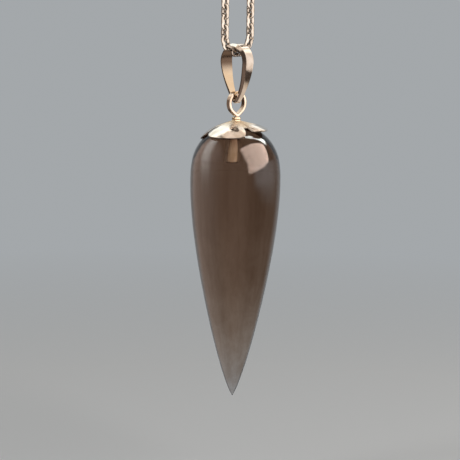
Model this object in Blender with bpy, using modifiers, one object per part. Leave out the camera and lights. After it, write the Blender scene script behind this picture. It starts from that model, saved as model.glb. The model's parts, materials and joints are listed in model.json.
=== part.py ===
"""A polished stone drop under a petal cap, hung by a loop and a folded bail from a short chain and its clasp.

Metres, +Z up. The origin is where the clasp is held, and everything hangs below it. The two strands of the chain
stand apart along X. The chain folds and the bail swings about X, and the drop swings in the bail about Y.
"""

import math
from collections import namedtuple

import bmesh
import bpy
from mathutils import Matrix, Vector

MM = 0.001

# Clearances
SLACK = 0.04 * MM  # between links, rings and the bars that they hang on
SEAT_GAP = 0.05 * MM  # between pieces that rest on, or are fixed to, each other
RUNNING_GAP = 0.06 * MM  # at each side of a piece that turns or swings

# Stone drop
STONE_LENGTH = 45.5 * MM
STONE_DIAMETER = 15.1 * MM
SHOULDER_HEIGHT = 8.6 * MM  # from the top down to the widest ring
SHOULDER_POWER = 2.25  # of the rounded shoulder's outline
TAPER_TOP_POWER = 1.17  # of the long taper's outline beside the widest ring
TAPER_TIP_POWER = 0.84  # of the same outline at the tip

# Peg and cement
PEG_DIAMETER = 0.9 * MM
PEG_DEPTH = 6.0 * MM
CEMENT_WALL = 0.3 * MM
CEMENT_FLOOR = 0.4 * MM

# Petal cap
CAP_THICKNESS = 0.4 * MM
CAP_NOTCH = 3.0 * MM  # from the axis to the notch between two petals
PETAL_POWER = 4.0  # of a petal's squarish outline
PETAL_PUFF = 0.2 * MM
BACK_REACH = 5.4 * MM  # from the axis to each petal's tip
LEFT_REACH = 5.6 * MM
FRONT_REACH = 5.35 * MM
RIGHT_REACH = 5.2 * MM
BACK_LIFT = 0.15 * MM  # how far each petal's tip stands off the stone
LEFT_LIFT = 0.25 * MM
FRONT_LIFT = 0.1 * MM
RIGHT_LIFT = 0.5 * MM
Petal = namedtuple("Petal", "angle half_angle reach lift")  # angles in degrees
PETALS = (
    Petal(30.0, 42.0, BACK_REACH, BACK_LIFT),
    Petal(112.0, 32.0, LEFT_REACH, LEFT_LIFT),
    Petal(199.5, 49.5, FRONT_REACH, FRONT_LIFT),
    Petal(305.0, 38.0, RIGHT_REACH, RIGHT_LIFT),
)

# Neck collar and hanging loop
COLLAR_HEIGHT = 0.9 * MM
COLLAR_WAIST = 0.6 * MM
COLLAR_BEAD = 0.14 * MM
COLLAR_BEADS = 2
LOOP_HEIGHT = 3.3 * MM  # of the hole
LOOP_HEAD_RADIUS = 1.5 * MM  # of the hole's round top
LOOP_FOOT_RADIUS = 0.25 * MM  # of the hole's narrow end
LOOP_THICKNESS = 0.5 * MM
LOOP_WIDTH = 0.85 * MM

# Bail
BAIL_HEIGHT = 8.85 * MM  # of the opening
BAIL_CROWN_RADIUS = 2.45 * MM  # of the opening's round top
BAIL_FOOT_RADIUS = 0.2 * MM  # of the opening's narrow end
BAIL_THICKNESS = 0.55 * MM
BAIL_CROWN_WIDTH = 2.6 * MM
BAIL_FOOT_WIDTH = 1.3 * MM

# Chain
LINK_PITCH = 1.71 * MM
LINK_WIRE = 0.5 * MM
LINK_SIDE_GAP = 0.075 * MM
LINKS_PER_STRAND = 6
SEAT_END_TILT = math.radians(70.0)  # of the links that lead from the bail up into the strands
RING_WIRE = 0.6 * MM
RING_RADIUS = 1.2 * MM  # to the middle of the wire

# Clasp
CLASP_BAR = 0.8 * MM  # wire of the hook and the tail eye
TAIL_EYE_RADIUS = 0.95 * MM  # to the middle of the wire
TAIL_SINK = 0.35 * MM  # how far the tail eye runs into the body
HOOK_RADIUS = 1.25 * MM  # to the middle of the bar
HOOK_TIP = 0.5 * MM  # straight end past the bend
HOOK_ROOT = 0.7 * MM  # length of the bar inside the body
CLASP_BODY_LENGTH = 2.7 * MM
CLASP_BODY_THICKNESS = 2.2 * MM
CLASP_BODY_ROUND = 0.5 * MM
CLASP_SOLE = 0.12 * MM  # body below the bar
CLASP_FLOOR = 0.15 * MM  # slot's floor above the bar
CLASP_BACK_WALL = 0.45 * MM
CLASP_LIP = 0.3 * MM  # cheeks above the lever
LEVER_HEIGHT = 0.7 * MM
LEVER_THICKNESS = 0.8 * MM
LEVER_BOSS_RADIUS = 0.6 * MM
LEVER_TIP_GAP = 0.1 * MM
THUMB_HEIGHT = 0.6 * MM
THUMB_LENGTH = 0.9 * MM
PIN_DIAMETER = 0.6 * MM
PIN_HEAD = 0.08 * MM  # how far each end stands proud of the cheek
SPRING_WIRE = 0.14 * MM
SPRING_RADIUS = 0.28 * MM  # to the middle of the wire
SPRING_TURNS = 2

# Fineness of the round shapes
STONE_SEGMENTS = 40
SHOULDER_STEPS = 10
TAPER_STEPS = 18
TURNED_SEGMENTS = 20
CAP_SEGMENTS = 72
CAP_RINGS = 6
ARC_STEPS = 6
RIBBON_STEPS = 5
RING_STEPS = 20
COIL_STEPS = 10
WIRE_STEPS = 2  # bevel resolution, eight sides
MERGE = 1e-6

# Sizes that follow from the ones above
link_inner_length = LINK_PITCH + SLACK
link_inner_width = LINK_WIRE + 2 * LINK_SIDE_GAP
link_half_width = link_inner_width / 2 + LINK_WIRE
end_reach = (link_inner_length + LINK_WIRE) / 2  # link's centre to the middle of its end wire
hook_reach = LINK_PITCH - end_reach  # link's centre to the middle of its neighbour's end wire
shank_offset = (link_inner_width + LINK_WIRE) / 2

lever_z = -(LEVER_HEIGHT / 2 + CLASP_LIP)
rim_z = lever_z - 2 * HOOK_RADIUS
ring_z = rim_z + (CLASP_BAR + RING_WIRE) / 2 + SLACK - RING_RADIUS
first_link_z = ring_z - RING_RADIUS + (RING_WIRE + LINK_WIRE) / 2 + SLACK - end_reach
last_link_z = first_link_z - (LINKS_PER_STRAND - 1) * LINK_PITCH


def seat_tilt():
    """Tilt of the links beside the middle one, which keeps them inside the crown as far as the ribbon's edge."""
    seat_height = BAIL_CROWN_RADIUS - SEAT_GAP - link_half_width
    room = BAIL_CROWN_RADIUS - 2 * SEAT_GAP - LINK_WIRE / math.sqrt(3)
    rise = math.sqrt(room**2 - shank_offset**2) - seat_height
    return math.atan2(rise, BAIL_CROWN_WIDTH / 2 - hook_reach)


near_tilt = seat_tilt()
strand_x = hook_reach + 2 * end_reach * math.cos(near_tilt) + 2 * hook_reach * math.cos(SEAT_END_TILT)
seat_rise = 2 * end_reach * math.sin(near_tilt) + 2 * hook_reach * math.sin(SEAT_END_TILT)
seat_z = last_link_z - end_reach - seat_rise
seat_hinge_z = seat_z + seat_rise + (end_reach - hook_reach) * math.sin(SEAT_END_TILT)

crown_z = seat_z + link_half_width + SEAT_GAP - BAIL_CROWN_RADIUS  # centre of the crown's arc
bail_span = BAIL_HEIGHT - BAIL_CROWN_RADIUS - BAIL_FOOT_RADIUS
bail_foot_z = crown_z - bail_span  # centre of the foot's arc


def bail_half_width(height):
    """Half width of the bail's ribbon at a height from its crown's centre: even in the upper part, narrow below."""
    share = min(max(-height / bail_span, 0.0), 1.0)
    ease = share * share * (3 - 2 * share)
    return (BAIL_CROWN_WIDTH + (BAIL_FOOT_WIDTH - BAIL_CROWN_WIDTH) * ease) / 2


def loop_rise():
    """Height over the foot's centre at which the bail's legs leave room for the loop's strip between them."""
    lean = math.asin((BAIL_CROWN_RADIUS - BAIL_FOOT_RADIUS) / bail_span)
    room = LOOP_WIDTH / 2 + RUNNING_GAP
    if room <= BAIL_FOOT_RADIUS * math.cos(lean):
        rise = -math.sqrt(BAIL_FOOT_RADIUS**2 - room**2)
    else:
        rise = (room - BAIL_FOOT_RADIUS / math.cos(lean)) / math.tan(lean)
    edge = bail_half_width(rise - bail_span)
    return rise + LOOP_HEAD_RADIUS - math.sqrt(LOOP_HEAD_RADIUS**2 - edge**2)


loop_z = bail_foot_z + loop_rise() - LOOP_HEAD_RADIUS  # centre of the loop's head
loop_span = LOOP_HEIGHT - LOOP_HEAD_RADIUS - LOOP_FOOT_RADIUS
collar_top_z = loop_z - loop_span - LOOP_FOOT_RADIUS - LOOP_THICKNESS - SEAT_GAP
cap_top_z = collar_top_z - COLLAR_HEIGHT - SEAT_GAP
stone_z = cap_top_z - CAP_THICKNESS - 2 * SEAT_GAP

body_left = TAIL_EYE_RADIUS + CLASP_BAR / 2 - TAIL_SINK - strand_x
body_right = body_left + CLASP_BODY_LENGTH
slot_left = body_left + CLASP_BACK_WALL
slot_floor_z = rim_z + CLASP_BAR / 2 + CLASP_FLOOR
pin_x = slot_left + LEVER_BOSS_RADIUS + 2 * RUNNING_GAP
lever_tip_x = strand_x - HOOK_TIP - LEVER_TIP_GAP
spring_x = pin_x + LEVER_BOSS_RADIUS + SPRING_RADIUS + SPRING_WIRE


def new_collection(name):
    """A collection in the scene."""
    made = bpy.data.collections.new(name)
    bpy.context.scene.collection.children.link(made)
    return made


def new_finish(name, colour, roughness, metallic, transmission=0.0):
    """A Principled material."""
    finish = bpy.data.materials.new(name)
    finish.use_nodes = True
    shader = finish.node_tree.nodes["Principled BSDF"]
    shader.inputs["Base Color"].default_value = (*colour, 1.0)
    shader.inputs["Roughness"].default_value = roughness
    shader.inputs["Metallic"].default_value = metallic
    shader.inputs["Transmission Weight"].default_value = transmission
    return finish


for old in list(bpy.data.objects):
    bpy.data.objects.remove(old, do_unlink=True)
PARTS = new_collection("stone_drop_pendant")
CUTTERS = new_collection("cutters")


def place_of(obj):
    """World place of an object whose parents are all unturned."""
    place = Vector((0.0, 0.0, 0.0))
    while obj is not None:
        place += obj.location
        obj = obj.parent
    return place


def add_part(name, data, finish, place, parent=None, turn=None):
    """Puts a named piece at a world place, under the hinge that carries it."""
    if not data.materials:
        data.materials.append(finish)
    obj = bpy.data.objects.new(name, data)
    PARTS.objects.link(obj)
    obj.parent = parent
    obj.location = Vector(place) - place_of(parent)
    if turn is not None:
        obj.rotation_euler = turn.to_euler()
    return obj


def add_hinge(name, place, parent=None):
    """An empty on a joint's axis."""
    empty = bpy.data.objects.new(name, None)
    empty.empty_display_size = LINK_PITCH
    PARTS.objects.link(empty)
    empty.parent = parent
    empty.location = Vector(place) - place_of(parent)
    print("hinge", name, [round(value, 6) for value in place])
    return empty


def add_cutter(name, data):
    """A hidden shape that a Boolean uses."""
    obj = bpy.data.objects.new(name, data)
    CUTTERS.objects.link(obj)
    obj.hide_render = True
    obj.display_type = "WIRE"
    return obj


def boolean(obj, cutter, operation):
    """Joins or cuts a piece with a hidden shape."""
    modifier = obj.modifiers.new(cutter.name, "BOOLEAN")
    modifier.operation = operation
    modifier.object = cutter


def smooth(mesh, angle=40.0):
    """Smooth shading with sharp edges above an angle in degrees."""
    mesh.shade_smooth()
    mesh.set_sharp_from_angle(angle=math.radians(angle))
    return mesh


def arc(centre, radius, start, end, steps):
    """Points on an arc in a plane, both ends included, angles in radians."""
    angles = [start + (end - start) * step / steps for step in range(steps + 1)]
    return [(centre[0] + radius * math.cos(a), centre[1] + radius * math.sin(a)) for a in angles]


def wire(name, points, diameter, closed):
    """A round wire along a path of points."""
    curve = bpy.data.curves.new(name, "CURVE")
    curve.dimensions = "3D"
    curve.bevel_depth = diameter / 2
    curve.bevel_resolution = WIRE_STEPS
    curve.use_fill_caps = True
    spline = curve.splines.new("POLY")
    spline.points.add(len(points) - 1)
    for point, place in zip(spline.points, points):
        point.co = (*place, 1.0)
    spline.use_cyclic_u = closed
    return curve


def as_mesh(curve):
    """A plain, welded mesh of a curve, which is removed."""
    holder = bpy.data.objects.new(curve.name, curve)
    bpy.context.scene.collection.objects.link(holder)
    evaluated = holder.evaluated_get(bpy.context.evaluated_depsgraph_get())
    mesh = bpy.data.meshes.new_from_object(evaluated)
    bpy.data.objects.remove(holder, do_unlink=True)
    bpy.data.curves.remove(curve)
    work = bmesh.new()
    work.from_mesh(mesh)
    bmesh.ops.remove_doubles(work, verts=work.verts, dist=MERGE)
    work.to_mesh(mesh)
    work.free()
    return mesh


def plate(name, outline, thickness, filled=True):
    """A mesh of a flat outline given in X and Z, as thick along Y, or only its rim."""
    curve = bpy.data.curves.new(name, "CURVE")
    curve.dimensions = "2D"
    curve.fill_mode = "BOTH" if filled else "NONE"
    curve.extrude = thickness / 2
    spline = curve.splines.new("POLY")
    spline.points.add(len(outline) - 1)
    for point, (x, z) in zip(spline.points, outline):
        point.co = (x, z, 0.0, 1.0)
    spline.use_cyclic_u = True
    mesh = as_mesh(curve)
    mesh.transform(Matrix.Rotation(math.pi / 2, 4, "X"))
    return mesh


def rod(name, diameter, length):
    """A plain round rod along Y, with its middle at the origin."""
    work = bmesh.new()
    bmesh.ops.create_cone(
        work,
        cap_ends=True,
        segments=TURNED_SEGMENTS,
        radius1=diameter / 2,
        radius2=diameter / 2,
        depth=length,
        matrix=Matrix.Rotation(math.pi / 2, 4, "X"),
    )
    mesh = bpy.data.meshes.new(name)
    work.to_mesh(mesh)
    work.free()
    return smooth(mesh)


def turned(name, profile, segments, finish, place, parent):
    """A turned piece from a profile of radius and height that runs down its outer side."""
    mesh = bpy.data.meshes.new(name)
    edges = [(step, step + 1) for step in range(len(profile) - 1)]
    mesh.from_pydata([(radius, 0.0, height) for radius, height in profile], edges, [])
    obj = add_part(name, mesh, finish, place, parent)
    screw = obj.modifiers.new("turn", "SCREW")
    screw.steps = segments
    screw.render_steps = segments
    screw.use_merge_vertices = True
    screw.merge_threshold = MERGE
    return obj


def shoulder_drop(radius):
    """How far the stone's shoulder lies below its top at a radius."""
    share = (1 - (2 * radius / STONE_DIAMETER) ** SHOULDER_POWER) ** (1 / SHOULDER_POWER)
    return SHOULDER_HEIGHT * (1 - share)


def stone_profile():
    """The stone from the floor of its drilled hole, over the shoulder and down to the tip."""
    widest = STONE_DIAMETER / 2
    hole_radius = PEG_DIAMETER / 2 + CEMENT_WALL
    hole_floor = -(PEG_DEPTH + CEMENT_FLOOR)
    profile = [(0.0, hole_floor), (hole_radius, hole_floor)]
    first = math.asin((hole_radius / widest) ** (SHOULDER_POWER / 2))
    for step in range(SHOULDER_STEPS + 1):
        angle = first + (math.pi / 2 - first) * step / SHOULDER_STEPS
        radius = widest * math.sin(angle) ** (2 / SHOULDER_POWER)
        profile.append((radius, -shoulder_drop(radius)))
    taper_length = STONE_LENGTH - SHOULDER_HEIGHT
    for step in range(1, TAPER_STEPS):
        share = 1 - step / TAPER_STEPS
        power = TAPER_TIP_POWER + (TAPER_TOP_POWER - TAPER_TIP_POWER) * share
        radius = widest * math.sin(math.pi / 2 * share**power)
        profile.append((radius, -SHOULDER_HEIGHT - taper_length * (1 - share)))
    profile.append((0.0, -STONE_LENGTH))
    return profile


def cement_profile():
    """The sleeve between the peg and the hole, closed below the peg."""
    inner = PEG_DIAMETER / 2 + SEAT_GAP
    outer = PEG_DIAMETER / 2 + CEMENT_WALL - SEAT_GAP
    top = -2 * SEAT_GAP
    peg_end = -(PEG_DEPTH + SEAT_GAP)
    floor = -(PEG_DEPTH + CEMENT_FLOOR - SEAT_GAP)
    return [(0.0, peg_end), (inner, peg_end), (inner, top), (outer, top), (outer, floor), (0.0, floor)]


def collar_profile():
    """A small neck of rounded beads, bored from below for the peg."""
    bore = PEG_DIAMETER / 2 + SEAT_GAP
    roof = -COLLAR_WAIST / 2
    steps = COLLAR_BEADS * ARC_STEPS
    profile = [(0.0, 0.0)]
    for step in range(steps + 1):
        share = step / steps
        swell = abs(math.sin(math.pi * COLLAR_BEADS * share))
        profile.append((COLLAR_WAIST + COLLAR_BEAD * swell, -COLLAR_HEIGHT * share))
    return profile + [(bore, -COLLAR_HEIGHT), (bore, roof), (0.0, roof)]


def petal_at(angle):
    """The petal at an angle, and how far off its middle the angle lies: 0 in the middle, 1 at its side or past it."""
    off_middle = []
    for petal in PETALS:
        turn = (math.degrees(angle) - petal.angle + 180.0) % 360.0 - 180.0
        off_middle.append(min(abs(turn) / petal.half_angle, 1.0))
    off = min(off_middle)
    return PETALS[off_middle.index(off)], off


def petal_cap_mesh():
    """The open underside of the cap: a disc whose rim runs out into petals and lies along the shoulder."""
    bore = PEG_DIAMETER / 2 + SEAT_GAP
    work = bmesh.new()
    spoke = [work.verts.new((1 + step / CAP_RINGS, 0.0, 0.0)) for step in range(CAP_RINGS + 1)]
    edges = [work.edges.new(pair) for pair in zip(spoke, spoke[1:])]
    bmesh.ops.spin(
        work,
        geom=spoke + edges,
        axis=(0.0, 0.0, 1.0),
        angle=2 * math.pi,
        steps=CAP_SEGMENTS,
        use_merge=True,
    )
    for vert in work.verts:
        angle = math.atan2(vert.co.y, vert.co.x)
        share = math.hypot(vert.co.x, vert.co.y) - 1
        petal, off = petal_at(angle)
        reach = CAP_NOTCH + (petal.reach - CAP_NOTCH) * (1 - off**PETAL_POWER) ** (1 / PETAL_POWER)
        radius = bore + (reach - bore) * share
        lift = (1 - off**2) * (petal.lift * share**2 + PETAL_PUFF * math.sin(math.pi * share))
        vert.co = (radius * math.cos(angle), radius * math.sin(angle), lift - shoulder_drop(radius))
    work.normal_update()
    work.faces.ensure_lookup_table()
    if work.faces[0].normal.z < 0:
        bmesh.ops.reverse_faces(work, faces=work.faces)
    mesh = bpy.data.meshes.new("petal_cap")
    work.to_mesh(mesh)
    work.free()
    return smooth(mesh)


def ribbon_outline(head_radius, foot_radius, span, thickness):
    """Middle line of a strip bent round a wide head and a narrow foot, with the head's centre at the origin."""
    head = head_radius + thickness / 2
    foot = foot_radius + thickness / 2
    lean = math.asin((head - foot) / span)
    crown = arc((0.0, 0.0), head, -lean, math.pi + lean, 3 * ARC_STEPS)
    heel = arc((0.0, -span), foot, math.pi + lean, 2 * math.pi - lean, ARC_STEPS)
    down = between(crown[-1], heel[0])
    up = between(heel[-1], crown[0])
    return crown + down + heel + up


def between(start, end):
    """Points evenly spread between two points, without the two."""
    shares = [step / RIBBON_STEPS for step in range(1, RIBBON_STEPS)]
    return [tuple(a + (b - a) * share for a, b in zip(start, end)) for share in shares]


def ribbon_part(name, outline, thickness, half_width_at, finish, place, parent, turn=None):
    """A closed strip along an outline, whose half width follows the height."""
    mesh = plate(name, outline, thickness, filled=False)
    for vert in mesh.vertices:
        vert.co.y = math.copysign(half_width_at(vert.co.z), vert.co.y)
    obj = add_part(name, smooth(mesh), finish, place, parent, turn)
    wall = obj.modifiers.new("wall", "SOLIDIFY")
    wall.thickness = thickness
    wall.offset = 0.0
    wall.use_even_offset = True
    edge = obj.modifiers.new("edge", "BEVEL")
    edge.width = thickness / 5
    edge.segments = 2
    edge.limit_method = "ANGLE"
    edge.angle_limit = math.radians(60.0)
    return obj


def link_curve():
    """A chain link standing along Z in the XZ plane."""
    straight = (link_inner_length - link_inner_width) / 2
    top = arc((0.0, straight), shank_offset, 0.0, math.pi, ARC_STEPS)
    bottom = arc((0.0, -straight), shank_offset, math.pi, 2 * math.pi, ARC_STEPS)
    return wire("link", [(x, 0.0, z) for x, z in top + bottom], LINK_WIRE, True)


def ring_points(radius):
    """Points of a closed ring in the XZ plane."""
    circle = arc((0.0, 0.0), radius, 0.0, 2 * math.pi, RING_STEPS)
    return [(x, 0.0, z) for x, z in circle[:-1]]


def spring_points():
    """A coil along Z whose two ends stand upright for one wire's diameter."""
    height = lever_z - LEVER_HEIGHT / 2 - slot_floor_z - 2 * SEAT_GAP
    rise = height - 2 * SPRING_WIRE
    steps = round(SPRING_TURNS * COIL_STEPS)
    coil = []
    for step in range(steps + 1):
        angle = 2 * math.pi * SPRING_TURNS * step / steps
        z = SPRING_WIRE + rise * step / steps
        coil.append((SPRING_RADIUS * math.cos(angle), SPRING_RADIUS * math.sin(angle), z))
    foot = (*coil[0][:2], 0.0)
    head = (*coil[-1][:2], height)
    return [foot] + coil + [head]


def spring_gap(points):
    """Least gap between turns of the coil that lie at least half a turn apart along it."""
    apart = COIL_STEPS // 2
    pairs = ((a, b) for a in range(len(points)) for b in range(a + apart, len(points)))
    nearest = min((Vector(points[a]) - Vector(points[b])).length for a, b in pairs)
    return nearest - SPRING_WIRE


def lever_outline():
    """The lever from its round tip over the thumb ridge to the boss on the pin and back."""
    half = LEVER_HEIGHT / 2
    tip = arc((lever_tip_x - half, lever_z), half, -math.pi / 2, math.pi / 2, ARC_STEPS)
    ridge_end = lever_tip_x - LEVER_HEIGHT
    ridge = []
    for step in range(ARC_STEPS + 1):
        share = step / ARC_STEPS
        swell = THUMB_HEIGHT * math.sin(math.pi * share)
        ridge.append((ridge_end - THUMB_LENGTH * share, lever_z + half + swell))
    meet = math.asin(half / LEVER_BOSS_RADIUS)
    boss = arc((pin_x, lever_z), LEVER_BOSS_RADIUS, meet, 2 * math.pi - meet, 2 * ARC_STEPS)
    return tip + ridge + boss


def body_outline():
    """The clasp's body from the side, with round corners."""
    r = CLASP_BODY_ROUND
    left, right = body_left + r, body_right - r
    low, high = rim_z - CLASP_BAR / 2 - CLASP_SOLE + r, -r
    corners = ((right, high), (left, high), (left, low), (right, low))
    outline = []
    for quarter, corner in enumerate(corners):
        start = quarter * math.pi / 2
        outline += arc(corner, r, start, start + math.pi / 2, ARC_STEPS // 2)
    return outline


def hook_points():
    """The clasp's bar from inside the body, round the bend and back to the tip."""
    bend_x = strand_x + RING_WIRE
    bend = arc((bend_x, rim_z + HOOK_RADIUS), HOOK_RADIUS, -math.pi / 2, math.pi / 2, 2 * ARC_STEPS)
    path = [(body_right - HOOK_ROOT, rim_z)] + bend + [(strand_x - HOOK_TIP, lever_z)]
    return [(x, 0.0, z) for x, z in path]


def slot_cutter():
    """The slot that the lever lies in, open at the top and towards the hook."""
    high = LEVER_HEIGHT
    size = (body_right - slot_left + HOOK_TIP, LEVER_THICKNESS + 2 * RUNNING_GAP, high - slot_floor_z)
    centre = (slot_left + size[0] / 2, 0.0, slot_floor_z + size[2] / 2)
    work = bmesh.new()
    bmesh.ops.create_cube(work, matrix=Matrix.LocRotScale(centre, None, size))
    mesh = bpy.data.meshes.new("slot")
    work.to_mesh(mesh)
    work.free()
    return add_cutter("lever_slot", mesh)


def pin_cutter(name, gap):
    """A hole for the pin, with a gap all round."""
    cutter = add_cutter(name, rod(name, PIN_DIAMETER + 2 * gap, 2 * CLASP_BODY_THICKNESS))
    cutter.location = (pin_x, 0.0, lever_z)
    return cutter


def build_clasp(silver, steel):
    """The claw with its hook and tail eye, the lever on its pin, and the spring under the lever."""
    claw = add_part(
        "clasp_claw", plate("clasp_claw", body_outline(), CLASP_BODY_THICKNESS), silver, (0.0, 0.0, 0.0)
    )
    tail_ring = as_mesh(wire("tail_eye", ring_points(TAIL_EYE_RADIUS), CLASP_BAR, True))
    tail = add_cutter("tail_eye", tail_ring)
    tail.location = (-strand_x, 0.0, rim_z + TAIL_EYE_RADIUS)
    hook = add_cutter("hook", as_mesh(wire("hook", hook_points(), CLASP_BAR, False)))
    boolean(claw, tail, "UNION")
    boolean(claw, hook, "UNION")
    boolean(claw, slot_cutter(), "DIFFERENCE")
    boolean(claw, pin_cutter("claw_pin_hole", SEAT_GAP), "DIFFERENCE")

    pin_place = (pin_x, 0.0, lever_z)
    lever_hinge = add_hinge("clasp_lever_hinge", pin_place)
    lever_mesh = plate("clasp_lever", lever_outline(), LEVER_THICKNESS)
    lever_mesh.transform(Matrix.Translation(-Vector(pin_place)))
    lever = add_part("clasp_lever", lever_mesh, silver, pin_place, lever_hinge)
    boolean(lever, pin_cutter("lever_pin_hole", RUNNING_GAP), "DIFFERENCE")
    pin = rod("clasp_pin", PIN_DIAMETER, CLASP_BODY_THICKNESS + 2 * PIN_HEAD)
    add_part("clasp_pin", pin, steel, pin_place)

    coil = spring_points()
    print("least gap between the spring's turns, mm:", round(spring_gap(coil) / MM, 3))
    spring = wire("clasp_spring", coil, SPRING_WIRE, False)
    add_part("clasp_spring", spring, steel, (spring_x, 0.0, slot_floor_z + SEAT_GAP))


def build_strand(side, x, silver):
    """One strand, each link under a hinge on its upper neighbour, from the end ring down. Returns its last hinge."""
    across = Matrix.Rotation(math.pi / 2, 3, "Z")
    hinge = add_hinge(f"{side}_end_ring_hinge", (x, 0.0, rim_z))
    ring = wire("ring", ring_points(RING_RADIUS), RING_WIRE, True)
    add_part(f"{side}_end_ring", ring, silver, (x, 0.0, ring_z), hinge, across)
    link = link_curve()
    for number in range(1, LINKS_PER_STRAND + 1):
        z = first_link_z - (number - 1) * LINK_PITCH
        faces_front = number % 2 == 1
        hinge_z = z + end_reach if faces_front else z + LINK_PITCH - end_reach
        hinge = add_hinge(f"{side}_link_{number}_hinge", (x, 0.0, hinge_z), hinge)
        turn = None if faces_front else across
        add_part(f"{side}_link_{number}", link, silver, (x, 0.0, z), hinge, turn)
    return hinge


def build_seat(parent, silver):
    """The five links that pass through the bail's crown, and the hinge that they hang on."""
    hinge = add_hinge("seat_hinge", (0.0, 0.0, seat_hinge_z), parent)
    across = Matrix.Rotation(math.pi / 2, 3, "Z")
    link = link_curve()

    def seat_link(number, x, z, tilt, turned_across):
        lean = Matrix.Rotation(tilt, 3, "Y")
        turn = lean @ across if turned_across else lean
        add_part(f"seat_link_{number}", link, silver, (x, 0.0, seat_z + z), hinge, turn)

    near_x = hook_reach + end_reach * math.cos(near_tilt)
    near_z = end_reach * math.sin(near_tilt)
    far_x = strand_x - hook_reach * math.cos(SEAT_END_TILT)
    far_z = seat_rise - hook_reach * math.sin(SEAT_END_TILT)
    upright = math.pi / 2
    seat_link(1, -far_x, far_z, SEAT_END_TILT - upright, False)
    seat_link(2, -near_x, near_z, near_tilt - upright, True)
    seat_link(3, 0.0, 0.0, upright, False)
    seat_link(4, near_x, near_z, upright - near_tilt, True)
    seat_link(5, far_x, far_z, upright - SEAT_END_TILT, False)
    return hinge


def build_bail(parent, silver):
    """The folded bail, and the hinge in the middle of its crown that it swings on."""
    hinge = add_hinge("bail_hinge", (0.0, 0.0, crown_z), parent)
    outline = ribbon_outline(BAIL_CROWN_RADIUS, BAIL_FOOT_RADIUS, bail_span, BAIL_THICKNESS)
    quarter = Matrix.Rotation(math.pi / 2, 3, "Z")
    place = (0.0, 0.0, crown_z)
    ribbon_part("bail", outline, BAIL_THICKNESS, bail_half_width, silver, place, hinge, quarter)
    return hinge


def build_drop(parent, silver, stone, brass, cement):
    """The stone with its peg, cement, cap, collar and loop, which swing together in the bail's foot."""
    hinge = add_hinge("drop_hinge", (0.0, 0.0, loop_z), parent)
    top = (0.0, 0.0, stone_z)
    turned("stone_drop", stone_profile(), STONE_SEGMENTS, stone, top, hinge)
    turned("peg_cement", cement_profile(), TURNED_SEGMENTS, cement, top, hinge)

    peg_top = collar_top_z - COLLAR_WAIST / 2 - SEAT_GAP
    peg_length = peg_top - (stone_z - PEG_DEPTH)
    peg = rod("peg_post", PEG_DIAMETER, peg_length)
    peg.transform(Matrix.Rotation(math.pi / 2, 4, "X"))
    add_part("peg_post", peg, brass, (0.0, 0.0, peg_top - peg_length / 2), hinge)

    cap = add_part("petal_cap", petal_cap_mesh(), silver, (0.0, 0.0, stone_z + 2 * SEAT_GAP), hinge)
    wall = cap.modifiers.new("wall", "SOLIDIFY")
    wall.thickness = CAP_THICKNESS
    wall.offset = 1.0

    collar_place = (0.0, 0.0, collar_top_z)
    turned("neck_collar", collar_profile(), TURNED_SEGMENTS, silver, collar_place, hinge)
    outline = ribbon_outline(LOOP_HEAD_RADIUS, LOOP_FOOT_RADIUS, loop_span, LOOP_THICKNESS)

    def half_width(_height):
        return LOOP_WIDTH / 2

    ribbon_part("hanging_loop", outline, LOOP_THICKNESS, half_width, silver, (0.0, 0.0, loop_z), hinge)


def main():
    """Builds the pendant from the clasp down."""
    silver = new_finish("polished_silver", (0.80, 0.77, 0.73), 0.14, 1.0)
    steel = new_finish("spring_steel", (0.55, 0.55, 0.56), 0.3, 1.0)
    brass = new_finish("peg_brass", (0.72, 0.52, 0.28), 0.3, 1.0)
    stone = new_finish("smoky_stone", (0.16, 0.10, 0.07), 0.06, 0.0, 0.6)
    cement = new_finish("clear_cement", (0.62, 0.50, 0.36), 0.3, 0.0, 0.6)
    build_clasp(silver, steel)
    left_end = build_strand("left", -strand_x, silver)
    build_strand("right", strand_x, silver)
    seat = build_seat(left_end, silver)
    bail = build_bail(seat, silver)
    build_drop(bail, silver, stone, brass, cement)


main()
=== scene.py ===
"""Looks of a stone drop pendant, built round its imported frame: fine meshes, finishes, light and camera.

Metres, +Z up, in the frame's own place. The two strands of the chain stand apart along X, the legs of the
bail along Y, and everything hangs below the clasp.
"""

import json
import logging
import math
from dataclasses import dataclass, field
from enum import Enum
from typing import Callable, Sequence

import bmesh
import bpy
from mathutils import Matrix, Vector

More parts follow.
